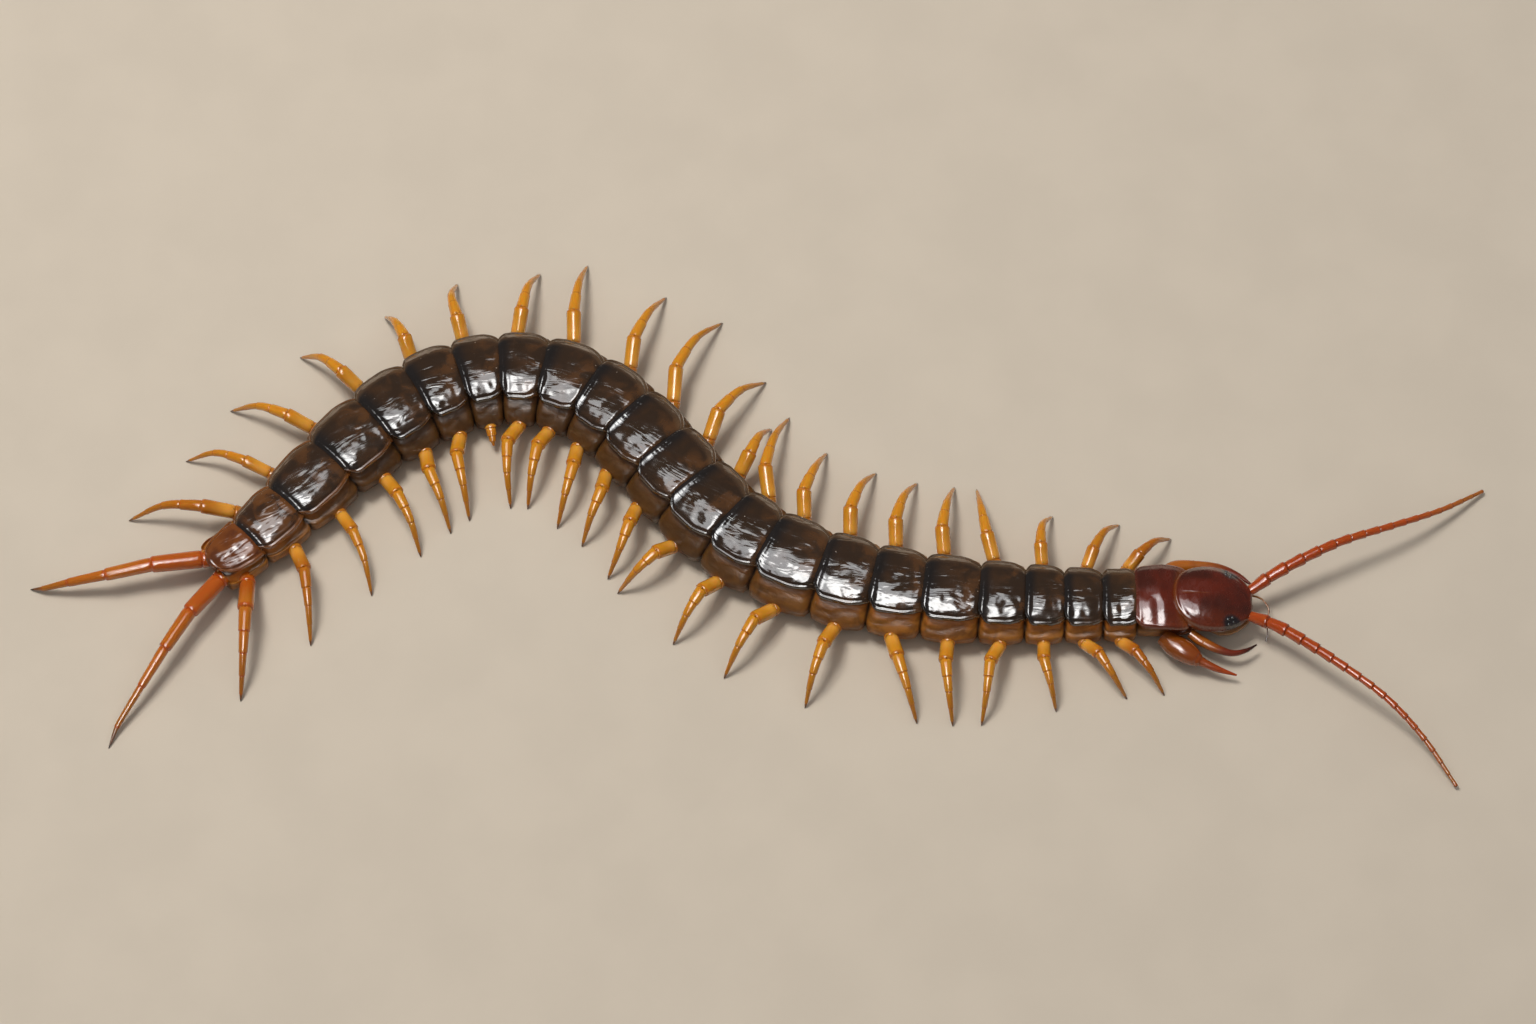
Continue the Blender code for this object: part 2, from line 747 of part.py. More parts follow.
def feeler(name, rows, mat):
    """Antenna: bead-like articles along a smooth path, each a little wider at its far end."""
    path = spline([place(*row) for row in rows], 16)
    lengths = [0.0]
    for a, b in zip(path, path[1:]):
        lengths.append(lengths[-1] + (b - a).length)
    whole = lengths[-1]

    def along(distance):
        for i in range(1, len(path)):
            if distance <= lengths[i]:
                share = (distance - lengths[i - 1]) / (lengths[i] - lengths[i - 1])
                return path[i - 1].lerp(path[i], share)
        return path[-1]

    stations = []
    for article in range(FEELER_ARTICLES):
        for share, swell in ARTICLE_ENDS:
            part = ((article + share) / FEELER_ARTICLES) ** FEELER_CROWDING
            radius = table(part, FEELER_RADII) * swell
            stations.append((along(part * whole), radius))
    points = [at for at, _ in stations]
    ways = directions(points)
    limb(name, [(at, way, radius) for (at, radius), way in zip(stations, ways)], mat, 6)


def tail_leg(name, side, rows, mat):
    """One of the two long rear legs, trailing from the end of the body to a claw on the floor."""
    point, tailward, far = station(LAST, 1.0)
    root = point + tailward * GAP + far * (side * TAIL_LEG_SPREAD) + Vector((0, 0, TAIL_LEG_HEIGHT))
    joints = [root] + [place(*row) for row in rows]
    stations = []
    for index, radii in enumerate(TAIL_LEG_RADII):
        start, end = joints[index], joints[index + 1]
        way = (end - start).normalized()
        if index == 0:
            stations.append((start, tailward, radii[0]))
            stations.append((start.lerp(end, 0.35), (way * 2 + tailward).normalized(), radii[1]))
            stations.append((start.lerp(end, 0.95), way, radii[2]))
        else:
            stations.append((start.lerp(end, 0.05), way, radii[0]))
            stations.append((start.lerp(end, 0.94), way, radii[1]))
    stations.pop()
    rings = [round_ring(at, way, radius, LEG_SIDES) for at, way, radius in stations]
    rings.append(sole(joints[-1], way))
    loft(name, rings, mat)


def stub_leg(mat):
    """Short leg that is growing again, held clear of the floor."""
    point, _, far = station(STUB, NEAR_ATTACH)
    root = point - far * (flank(STUB, NEAR_ATTACH, -1) + GAP) + Vector((0, 0, HIP_HEIGHT))
    down = (-far - Vector((0, 0, STUB_DROOP))).normalized()
    stations = [(root + down * distance, down, radius) for distance, radius in STUB_STATIONS]
    stations[0] = (root, -far, STUB_STATIONS[0][1])
    limb(f"leg_near_{STUB}", stations, mat, LEG_SIDES)


def head_limbs():
    """Antennae, poison claws and palps."""
    red = material("red_feelers", RED, 0.3)
    claw = material("rust_claws", RUST, 0.25)
    feeler("antenna_near", NEAR_FEELER, red)
    feeler("antenna_far", FAR_FEELER, red)
    _, tailward, far = station(1, 0.0)
    horn("poison_claw_near", NEAR_CLAW, 2, claw, 8, -far)
    horn("poison_claw_far", FAR_CLAW, 2, claw, 8, far)
    horn("palp_near", NEAR_PALP, 2, claw, 6, -far)
    horn("palp_far", FAR_PALP, 2, claw, 6, -tailward)
    tail_leg("tail_leg_near", -1, NEAR_TAIL_LEG, red)
    tail_leg("tail_leg_far", 1, FAR_TAIL_LEG, red)


def build():
    """The whole animal."""
    clear_scene()
    trunk()
    head_piece(material("red_head", MAROON, 0.25))
    legs()
    stub_leg(material("stub_leg", AMBER, 0.3))
    head_limbs()


build()
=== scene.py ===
"""Looks of a large tropical centipede, life size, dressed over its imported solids.

The body lies in an S-curve along X, head towards +X; the near side faces -Y and z = 0 is the
floor. Shapes are worked out in millimetres and become metres when a piece is made.
"""
import math

import bpy
import numpy as np
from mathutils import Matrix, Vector, noise


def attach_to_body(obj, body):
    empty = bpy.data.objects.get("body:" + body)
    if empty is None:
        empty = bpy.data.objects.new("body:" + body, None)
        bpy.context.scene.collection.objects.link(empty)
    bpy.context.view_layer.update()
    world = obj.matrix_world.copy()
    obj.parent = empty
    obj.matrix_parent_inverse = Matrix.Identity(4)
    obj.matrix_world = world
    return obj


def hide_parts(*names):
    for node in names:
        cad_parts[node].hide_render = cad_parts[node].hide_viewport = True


bl_info = {
    "name": "Centipede",
    "version": (1, 1, 0),
    "blender": (4, 5, 0),
    "location": "View3D > Sidebar > Centipede",
    "description": "Dresses the packed centipede with plates, skin, limbs and head",
    "category": "Object",
}

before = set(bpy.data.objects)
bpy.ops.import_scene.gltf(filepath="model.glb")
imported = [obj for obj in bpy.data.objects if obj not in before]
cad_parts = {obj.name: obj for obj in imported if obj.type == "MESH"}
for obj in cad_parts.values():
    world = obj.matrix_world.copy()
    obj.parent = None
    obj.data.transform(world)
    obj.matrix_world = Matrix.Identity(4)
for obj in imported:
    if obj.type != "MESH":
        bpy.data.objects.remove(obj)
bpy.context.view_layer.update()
MM = 0.001
UP = Vector((0.0, 0.0, 1.0))

# Body plan, the same as the solids': for each back plate from the head to the tail its length
# along the body, the turn of the heading over it (degrees) and the plate's half-width.
SEGMENTS = [
    (5.2, 0.0, 4.05),
    (3.8, -0.5, 3.55),
    (4.3, -1.0, 3.65),
    (4.4, -1.5, 3.8),
    (5.1, -2.0, 3.95),
    (6.3, -3.0, 4.1),
    (5.8, -4.5, 4.2),
    (6.0, -6.5, 4.35),
    (6.6, -10.0, 4.4),
    (5.4, -12.0, 4.45),
    (6.0, -9.0, 4.5),
    (5.7, -0.5, 4.5),
    (5.9, 4.8, 4.5),
    (5.7, 14.0, 4.45),
    (5.8, 19.5, 4.4),
    (5.1, 15.5, 4.4),
    (4.8, 14.7, 4.4),
    (5.4, 12.0, 4.45),
    (6.1, 11.0, 4.35),
    (6.8, 6.5, 4.1),
    (7.2, 1.5, 3.7),
    (5.9, -4.0, 3.2),
    (5.1, -7.0, 2.75),
]
LAST = len(SEGMENTS)
NECK = (46.8, -12.8)             # front of the first plate, before the animal is centred
TAILWARD = 180.0                 # heading of the body there, in degrees
CENTRE = (-1.06, -0.8)           # middle of the plan, which becomes x = 0 and y = 0

STANDARD = 4.1                   # half-width of a plate whose rim stands at RIM_HEIGHT
RIM_HEIGHT = 5.3
RIM_HEIGHT_PER_WIDTH = 0.8
ARCH_PER_WIDTH = 0.28            # height of a plate's crown over its rim
ARCH_POWER = 2.5
# How far the flanks stand out beside the plates, from the first segment to the last.
NEAR_BULGE = [(1.0, 0.35), (6.0, 1.15), (10.0, 1.5), (19.0, 1.5), (23.5, 0.45)]
FAR_BULGE = [(1.0, 0.3), (4.0, 0.5), (19.0, 0.45), (23.5, 0.3)]
NECK_FLANK = 3.5                 # half-width of the flanks at the first plate
PINCH = 0.13                     # narrowing of the flanks at both ends of a segment
REAR_PLATE_SPREAD = 0.08         # how much further the rear plates reach on the near side
HEAD_OVERLAP = 1.3               # how far back the skin's top starts, under the head's rear

# Back plates: their grid of points, and where they start and how far they reach, as shares of
# the segment's length.
PLATE_ROWS = 46
PLATE_COLUMNS = 61
PLATE_START = -0.02
PLATE_SPAN = 1.055
FAR_TAPER = (0.34, 0.24)         # how much the front and rear corners narrow on the far side
NEAR_TAPER = (0.20, 0.26)
CREASE = 0.70                    # where the far side breaks down, as a share of the half-width
CREASE_FALL = 0.26
PLATE_SWELL = 0.10               # of the middle of a plate over its ends
FRONT_DIP_SPAN = 0.13            # as a share of the plate's length
REAR_DIP_WIDTH = 0.45
EDGE_ROLL = (0.16, 0.09)         # each roll: how far the edge falls, and over what width
BEAD_LINE = (0.17, 0.10)         # each line: its distance from the edge and its width
BEAD_GROOVE = (0.42, 0.09)
BEAD_GROOVE_SHARE = 0.6          # of the bead's height
MARGIN_LINE = (0.42, 0.26)
MARGIN_GROOVE = (1.0, 0.3)
MARGIN_GROOVE_SHARE = 0.35       # of the margin's height
SUTURE_DEPTH = 0.03
SUTURE_WIDTH = 0.07
SUTURE_PLACE = 0.26              # as a share of the half-width
CORNER_DIP = 0.24                # of the near front corner
CORNER_LENGTH = 1.7
CORNER_WIDTH = 1.9
RIPPLE_SHARE = 0.35              # fine swelling, as a share of the coarse one
REAR_PLATES = 17                 # the plates after this one spread on the near side
REAR_BOW = 0.10                  # how far the rear edge's sides reach back
REAR_CORNER = 0.2                # how far its corners are cut back
LAST_BOW = 0.45                  # how far the middle of the last rear edge reaches back
PLATE_EDGE = 0.5                 # width of the full thickness along the sides
INNER_THICKNESS = 0.14
UNDER_INSET = 0.10
KEEL = 0.12                      # height of the last plate's middle ridge
SECOND_BEAD = (0.62, 0.08)
# The first plate.
NECK_START = -0.12
NECK_SPAN = 1.17
NECK_SLOPE = 1.1                 # how far its front runs down under the head
NECK_ROLL = (0.2, 0.2)
NECK_BEAD_HEIGHT = 0.05
NECK_MARGIN = (0.4, 0.2)
NECK_MARGIN_HEIGHT = 0.04
NECK_SWELL = 0.06
NECK_CLEAR_FRONT = (0.75, 0.22)  # tone and reach of its clear front
HEAD_REAR_WIDTH = 3.9            # half-width of the head's rear that its front edge follows
NECK_HOLLOW = 0.20
NECK_THICKNESS = 0.26
NECK_INNER_THICKNESS = 0.16
# The skin under the plates.
SKIN_PINCH = 0.10                # how much it narrows between two segments
SKIN_DEPTH = 0.78                # under a plate's crown
SEAM_DEPTH = 0.14                # deeper by this between two segments
SEAM_CREASE = 0.26
FAR_SHOULDER_DROP = 0.25
BELLY_HEIGHT = 0.55
FOLDED = (0.28, 0.9)             # the stretch of the section that has folds
# Folds along the flank: height under the rim or over the floor, depth as a share of the fold's
# setting, and width. The fold at a seam has only the last two.
UPPER_FOLD = (1.35, 0.8, 0.16)
LOWER_FOLD = (1.45, 0.5, 0.14)
SEAM_FOLD = (2.2, 0.13)
ROOT_SWELL = 0.28                # round the root of each leg
ROOT_REACH = (1.15, 0.95)        # of that swelling, along the body and in height
OUTLINE_STEPS = 5
STUB_GLOW = 0.4
SKIN_END = 0.97                  # of the last segment
SEGMENT_STEPS = 16
NECK_STEPS = 8
HEAD_RINGS = (7.5, 7.2, 6.8, 6.1, 5.3, 4.4, 3.4, 2.3, 1.2, 0.2)
CLEAR_OF_SEAMS = 2.0             # seam distance that is given where there is no seam
# The belly and breast.
BELLY_SHARE = 0.62               # half-width of a belly plate, as a share of the body's
BELLY_PLATE_HEIGHT = 0.40
BELLY_PLATE_THICKNESS = 0.3
BELLY_ROWS = 12
BELLY_COLUMNS = 24
BELLY_GROOVE_PLACE = 0.42        # as a share of the plate's half-width
BELLY_GROOVE = (0.05, 0.10)      # depth and width
BELLY_MARK = (0.2, 0.5)
# The breast plate: distance ahead of the neck, half-width, and lowest and highest height.
BREAST_LINES = [
    (-3.8, 2.2, 0.85, 2.1),
    (-2.6, 2.9, 0.7, 2.1),
    (-1.0, 3.2, 0.62, 1.8),
    (0.6, 3.0, 0.62, 1.7),
    (1.8, 2.5, 0.68, 1.65),
    (2.7, 1.8, 0.8, 1.6),
    (3.2, 1.0, 1.0, 1.5),
]
BREAST_SIDES = 32
BREAST_MARK = (0.2, 0.4, 0.3)
# Teeth of each side: how many, where they stand, and how much each lies behind the one before
# and beside it.
TEETH = 4
TOOTH_AHEAD = 3.2
TOOTH_SIDEWAYS = 0.28
TOOTH_STEP = (0.12, 0.32)
TOOTH_HEIGHT = 1.25
TOOTH_LENGTH = 0.4
TOOTH_RADIUS = 0.16
TOOTH_TIP = 0.02

# Walking legs: reach in plan, then the swing of thigh, shank and foot towards the head, in
# degrees.
NEAR_LEGS = {
    2: (7.6, 45, 39, 41),
    3: (7.7, 44, 34, 44),
    4: (7.5, -1, 18, 19),
    5: (9.3, -22, -3, -6),
    6: (9.3, 0, 12, 16),
    7: (10.1, 22, 28, 30),
    8: (9.6, -10, -5, 0),
    9: (9.6, -25, -8, -7),
    10: (8.6, -11, 1, 3),
    11: (8.0, -6, -4, -10),
    12: (8.6, 34, 30, 20),
    13: (8.6, 40, 25, 25),
    14: (9.5, 32, 23, 21),
    15: (9.2, -3, 10, 13),
    16: (9.8, -19, 4, 11),
    18: (9.9, -28, -11, -13),
    19: (9.7, -24, -11, -17),
    20: (9.9, -13, -16, -27),
    21: (10.2, -17, -24, -37),
    22: (11.4, -24, -39, -45),
    23: (13.8, -38, -42, -46),
}
FAR_LEGS = {
    2: (7.5, 43, 44, 56),
    3: (8.1, 21, 27, 46),
    4: (7.9, -7, 2, 32),
    5: (10.6, -21, -13, -9),
    6: (10.2, -13, 3, 11),
    7: (10.1, -13, 5, 19),
    8: (10.1, -17, 3, 16),
    9: (10.4, -28, -5, -2),
    10: (12.5, -46, -24, -12),
    11: (8.0, -16, -26, -16),
    12: (11.4, -30, -12, 1),
    13: (13.8, -43, -20, -5),
    14: (11.8, -28, -13, -6),
    15: (12.0, -18, -12, -5),
    16: (10.0, 10, 8, 21),
    17: (9.3, -2, -3, 24),
    18: (7.8, 6, 0, -9),
    19: (9.3, -17, -9, -25),
    20: (10.8, -24, -19, -34),
    21: (10.9, -21, -18, -42),
    22: (12.9, -43, -36, -53),
}
STUB = 17
# Where the legs leave their segments, as shares of the length; the far ones move back along
# the first segments.
NEAR_ATTACH = 0.5
LAST_ATTACH = 0.62
FAR_ATTACH = 0.72
FAR_ATTACH_FRONT = 0.25
FAR_ATTACH_STEP = 0.16
HIP_HEIGHT = 2.3
KNEE_HEIGHT = 4.1
ANKLE_HEIGHT = 3.4
REACH_SHARES = (0.31, 0.35, 0.34)
FULL_LEG_WIDTH = 4.2             # half-width of a plate whose legs have their full size
REAR_LEG_SIZE = {22: 0.98, 23: 1.1}
ROOT_OUT = 0.3                   # how far a leg's root stands outside the flank
ROOT_SINK = 0.9                  # how far a limb's first article starts inside the flank
TIP_HEIGHT = 0.05                # of the middle of a claw's point over the floor

# Articles of a walking leg: start and end, and the radius at both. A leg's stations run from
# 0 at its root through 1 at the knee and 2 at the ankle to 3 at its point.
ARTICLES = [
    (-0.9, 0.10, 0.84, 0.88),
    (0.10, 1.00, 0.84, 0.88),
    (1.00, 1.56, 0.71, 0.62),
    (1.56, 2.04, 0.55, 0.47),
    (2.04, 2.50, 0.41, 0.33),
    (2.50, 2.86, 0.29, 0.20),
]
LEG_CORNERS = (0.25, 0.16, 0.42)  # rounding of root, knee and ankle, as a share of the lengths
CLAW = (2.84, 3.0, 0.185, 0.03)  # stations, then radii
CLAW_STEPS = 10
CLAW_POWER = 0.7
TAIL_ARTICLES = [
    (-0.9, 0.08, 1.00, 1.08),
    (0.08, 1.00, 1.05, 0.97),
    (1.00, 2.00, 0.84, 0.74),
    (2.00, 3.00, 0.62, 0.50),
    (3.00, 4.10, 0.44, 0.32),
]
TAIL_CORNERS = (0.2, 0.12, 0.12, 0.12, 0.2)
TAIL_CLAW = (4.0, 5.0, 0.29, 0.03)
CORNER_STEPS = 8
# Round bosses at a leg's root and knee: station, height over the middle and radius. Their mark
# gives them the shade of a leg's root, away from the collars.
BOSSES = [(0.06, 0.82, 0.15), (0.97, 0.84, 0.12)]
BOSS_MARK = (0.1, 0.5, 0.0)
TAIL_BOSS = (0.55, 0.92, 0.18)   # sideways, height over the middle and radius
# The leg that grows again: stations are millimetres from its root.
STUB_ARTICLES = [
    (-0.9, 0.1, 0.62, 0.72),
    (0.1, 1.05, 0.62, 0.55),
    (1.05, 1.7, 0.44, 0.38),
    (1.7, 2.2, 0.28, 0.10),
]
STUB_LENGTH = 2.3
STUB_SINK = 0.8
STUB_DROOP = 0.45
# Swelling along an article: (part of its length, share of its radius).
LEG_PROFILE = [
    (0.004, 0.93), (0.03, 0.985), (0.10, 1.0), (0.25, 1.0), (0.40, 1.0), (0.55, 1.0), (0.70, 1.0),
    (0.84, 1.0), (0.92, 1.0), (0.96, 0.985), (0.985, 0.94), (1.0, 0.86),
]
FEELER_PROFILE = [
    (0.006, 0.78), (0.03, 0.88), (0.12, 0.92), (0.3, 0.95), (0.5, 0.99), (0.7, 1.05), (0.84, 1.10),
    (0.93, 1.12), (0.975, 1.07), (1.0, 0.90),
]

# Poison claws and palps from root to tip: x, y, height and radius.
NEAR_CLAW = [
    (44.6, -16.6, 2.4, 1.0),
    (45.7, -17.6, 2.35, 1.28),
    (47.0, -18.4, 2.2, 1.32),
    (48.1, -19.1, 2.0, 1.02),
    (48.7, -19.45, 1.95, 0.68),
    (50.6, -20.3, 1.7, 0.46),
    (52.8, -20.9, 1.3, 0.14),
]
FAR_CLAW = [
    (44.9, -9.0, 2.5, 0.85),
    (46.4, -8.2, 2.6, 0.85),
    (48.7, -8.0, 2.6, 0.62),
    (51.2, -8.2, 2.5, 0.5),
    (53.3, -9.0, 2.3, 0.36),
    (54.9, -10.1, 2.1, 0.14),
]
NEAR_PALP = [
    (47.6, -16.3, 2.7, 0.55),
    (48.9, -17.2, 2.4, 0.6),
    (50.7, -18.1, 2.2, 0.5),
    (52.4, -18.5, 2.0, 0.38),
    (53.9, -18.1, 1.8, 0.26),
    (55.2, -17.3, 1.6, 0.1),
]
FAR_PALP = [
    (50.2, -11.6, 1.5, 0.4),
    (51.6, -11.3, 1.2, 0.42),
    (52.9, -11.5, 1.05, 0.34),
    (54.0, -12.2, 1.0, 0.2),
]
# A hair-thin palp that hangs from the mouth past the near antenna.
MOUTH_PALP = [
    (54.6, -11.6, 2.6, 0.13),
    (55.9, -12.0, 2.4, 0.11),
    (56.7, -13.1, 2.0, 0.10),
    (56.5, -14.6, 1.4, 0.09),
    (56.6, -15.6, 0.9, 0.08),
    (56.4, -16.4, 0.5, 0.11),
]
# One of the pair of soft jaw lobes: x, distance from the middle line, height and radius.
JAW_LOBE = [
    (50.0, -2.7, 1.9, 0.3),
    (51.2, -2.9, 1.7, 0.5),
    (52.6, -2.6, 1.7, 0.55),
    (54.0, -1.8, 1.8, 0.4),
    (54.8, -1.0, 1.9, 0.2),
]
# Hooks beside the head: node, finish and rows, then for each article its span of shades, the
# stretch of the rows that it covers, its lip and its size.
HOOKS = (
    ("poison_claw_near", "bulb_horn", NEAR_CLAW, ((0.0, 0.5), (0.0, 0.67), 0.04),
     ((0.55, 1.0), (0.64, 1.0), 0.0, 0.84)),
    ("poison_claw_far", "fang_horn", FAR_CLAW, ((0.0, 0.1), (0.0, 0.4), 0.05), ((0.05, 0.7), (0.38, 1.0))),
    ("palp_near", "fang_horn", NEAR_PALP, ((0.0, 0.1), (0.0, 0.25), 0.06), ((0.1, 1.0), (0.22, 1.0))),
    ("palp_far", "fang_horn", FAR_PALP, ((0.0, 0.8),)),
)
MOUTH_PALP_SPAN = (0.3, 1.0)     # of shades
LOBE_SPAN = (0.0, 0.5)
LOBE_STEPS = 6
HORN_STEPS = 8
HORN_LIP = (0.96, 0.04)          # place and width, as shares of an article
HORN_END = (1.0, 0.02)
HORN_ROLL = 0.12                 # of its end, as a share of the radius

# Antennae from root to tip: x, y and height.
NEAR_FEELER = [
    (54.2, -14.3, 3.1),
    (58.0, -16.5, 4.2),
    (63.7, -20.7, 4.7),
    (69.0, -24.7, 4.0),
    (73.2, -28.9, 2.3),
    (76.8, -34.0, 0.5),
]
FAR_FEELER = [
    (54.4, -11.4, 3.1),
    (58.0, -9.3, 4.3),
    (64.4, -6.2, 4.9),
    (71.5, -3.4, 3.9),
    (77.0, -0.8, 2.2),
    (82.3, 2.4, 0.5),
]
FEELER_RADII = [(0.0, 0.60), (0.06, 0.72), (0.14, 0.72), (0.3, 0.58), (0.5, 0.43), (0.85, 0.30), (1.0, 0.2)]
FEELER_CROWDING = 0.82           # below 1, so that the articles grow shorter towards the tip
FEELER_SINK = 0.5                # how far an antenna starts inside the head
FEELER_STEPS = 16

# Long rear legs, where their articles and their claws end: x, y and height. Their tips stand at
# TIP_HEIGHT.
NEAR_TAIL_LEG = [
    (-65.3, -14.0, 3.4),
    (-67.9, -18.4, 3.2),
    (-70.4, -22.7, 2.3),
    (-73.0, -26.9, 0.9),
    (-73.9, -29.3, 0.0),
]
FAR_TAIL_LEG = [
    (-70.0, -8.2, 3.5),
    (-75.2, -9.3, 3.1),
    (-79.6, -9.8, 2.0),
    (-82.5, -10.0, 0.8),
    (-84.1, -9.8, 0.0),
]
TAIL_LEG_SPREAD = 1.5            # of their roots from the middle of the body
TAIL_LEG_HEIGHT = 2.75           # of their roots

# Head: distance ahead of the neck, height of the shield's rim and of its crown, half-width
# and lowest height of the capsule beneath it.
HEAD_LINES = [
    (-1.3, 4.9, 6.25, 3.0, 2.15),
    (0.4, 4.75, 6.3, 3.0, 2.15),
    (1.6, 4.55, 6.2, 3.1, 2.1),
    (3.0, 4.4, 5.95, 3.1, 2.05),
    (4.5, 4.2, 5.55, 2.9, 2.05),
    (5.7, 4.0, 5.05, 2.5, 2.1),
    (6.6, 3.88, 4.6, 1.7, 2.2),
    (7.35, 3.82, 4.3, 1.0, 2.3),
    (7.75, 3.8, 4.05, 0.5, 2.5),
]
# The shield's outline: its widest place ahead of the neck and its half-width there, then how
# far it reaches to the front and to the rear, with the power of each rounded end.
HEAD_MIDDLE = 2.8
HEAD_HALF = 3.95
HEAD_FRONT = (5.3, 2.1)
HEAD_REAR = (4.0, 2.2)
HEAD_ARCH = 4.8
HEAD_LIFT = 1.2                  # of the middle of the shield's rear rim over its sides
HEAD_LIFT_LINE = (1.9, 3.0)      # ahead of the neck: where it ends, and over what length it grows
HEAD_CROWN_LEAST = 0.25          # over the rim
# Eyes of each side: distance ahead of the neck and sideways, and radius.
EYES = [(4.9, 2.75, 0.24), (5.4, 2.5, 0.22), (5.0, 3.2, 0.2), (5.55, 2.9, 0.2)]
EYE_SINK = 0.12
HEAD_NOTCH = 0.22                # between the antennae
SHIELD_SIDES = 112
SHIELD_RINGS = 36
SHIELD_ROLL = (0.26, 0.24)
SHIELD_BEAD = (0.3, 0.12)
SHIELD_GROOVE = (0.58, 0.14)
SHIELD_RIDGE = 0.03              # height of its bead and depth of its groove
SHIELD_THICKNESS = 0.22
SHIELD_INSET = 0.06
SHIELD_SWELL = 0.07
SHIELD_RIPPLE = 0.015
SHIELD_MIDDLE = 0.004            # share of the radius at which its innermost ring lies
# Dark patch round the eyes: place and width ahead of the neck, then sideways.
EYE_PATCH_LINES = ((5.5, 1.2), (3.1, 0.9))
MIDLINE_DEPTH = 0.045

# Shades of the finishes beside the main ones in CentipedeColours, as linear light.
# Back plates.
THIN_DEEP = (0.048, 0.017, 0.006)
THIN_CLEAR = (0.20, 0.064, 0.009)
LAST_PLATE_SHADE = (0.16, 0.036, 0.006)
CLEAR_RIM = (0.22, 0.07, 0.012)
# Pale specks in tiny pits, partly their own pale colour and partly a painted glint.
PIT_SPECK_AND_GLINT = (0.35, 0.28, 0.22)
# Head and first plate.
MAROON_DEEP = (0.052, 0.0080, 0.0030)
# Painted light on the near side of the head and first plate.
MAROON_NEAR_SIDE_LIGHT = (0.20, 0.030, 0.005)
MAROON_RIM = (0.10, 0.020, 0.007)
MAROON_REAR = (0.19, 0.048, 0.008)
EYE_PATCH = (0.009, 0.012, 0.016)
EYE_GLINT = (0.02, 0.02, 0.024)
# Pale specks in the head's pits, partly their own pale colour and partly a painted glint.
HEAD_PIT_SPECK_AND_GLINT = (0.35, 0.22, 0.18)
# Skin.
FLANK_DEEP = (0.16, 0.056, 0.006)
FLANK_CLEAR = (0.50, 0.160, 0.020)
FLANK_MIDDLE = (0.058, 0.027, 0.008)
# Painted shadow on the skin under the rims of the plates.
SHADOW_UNDER_PLATES = (0.022, 0.010, 0.005)
LEG_ROOT_GLOW = (0.36, 0.105, 0.012)
SEAM_SHADE = (0.018, 0.008, 0.004)
HEAD_SKIN = (0.15, 0.030, 0.008)
# Painted shadow in the hollows of the skin's folds.
FOLD_HOLLOW_SHADOW = (0.03, 0.012, 0.005)
# Limbs: root, tip and collars. The rear legs have their main shade first.
LEG_SHADES = ((0.80, 0.375, 0.050), (0.42, 0.160, 0.010), (0.44, 0.130, 0.006))
LEG_SUNK = (0.34, 0.110, 0.008)
FEELER_SHADES = ((0.40, 0.060, 0.007), (0.38, 0.125, 0.020), (0.17, 0.022, 0.005))
REAR_LEG_SHADES = (
    (0.49, 0.155, 0.010),
    (0.44, 0.090, 0.007),
    (0.36, 0.125, 0.012),
    (0.42, 0.060, 0.006),
)
# Horn of the claws and the mouth: root, middle and tip.
HORN_SHADES = {
    "bulb_horn": ((0.22, 0.056, 0.005), (0.26, 0.050, 0.005), (0.36, 0.045, 0.005)),
    "fang_horn": ((0.42, 0.120, 0.012), (0.16, 0.020, 0.006), (0.006, 0.0045, 0.0045)),
    "claw_horn": ((0.28, 0.100, 0.016), (0.15, 0.048, 0.010), (0.025, 0.012, 0.007)),
    "mouth_horn": ((0.30, 0.13, 0.035), (0.26, 0.10, 0.022), (0.07, 0.02, 0.008)),
}

# Pieces of back plates: the first and last plate of each.
PLATE_GROUPS = ((2, 7), (8, 13), (14, 19), (20, 23))
# Tones of the plates and legs that differ from the rest, by segment: paler plates, redder legs.
PLATE_TONES = {20: 0.12, 21: 0.22, 22: 0.48, 23: 1.0}
LEG_TONES = {2: 0.9, 3: 0.5, 4: 0.25, 21: 0.3, 22: 0.75}
STUB_TONE = 0.4
TAIL_TONE = 0.3

# Lamps, in metres: place from the point that the camera looks at, aim, size and tint, and whether
# it is a panel that is seen in the gloss only. CentipedeStage has each one's power by its name.
LAMPS = {
    "key": ((-0.175, 0.14, 0.58), (0.175, -0.14, -0.58), (0.18, 0.18), (1.0, 0.97, 0.93), False),
    "fill": ((0.0, -0.1, 0.8), (0.0, 0.0, -1.0), (1.8, 1.8), (1.0, 0.98, 0.96), False),
    "sheen": ((-0.13, -0.12, 0.6), (0.0, 0.0, -1.0), (0.44, 0.46), (0.96, 0.98, 1.0), True),
    "core": ((-0.07, -0.21, 0.59), (0.0, 0.0, -1.0), (0.22, 0.26), (1.0, 0.99, 0.97), True),
    "front": ((-0.10, -0.40, 0.50), (0.10, 0.40, -0.50), (0.10, 0.26), (1.0, 1.0, 0.98), True),
}
SKY_TINT = (0.97, 0.98, 1.0, 1.0)
FLOOR_HALF = 1.5                 # metres
SENSOR_WIDTH = 36.0              # millimetres
CLIP_START = 0.01                # metres


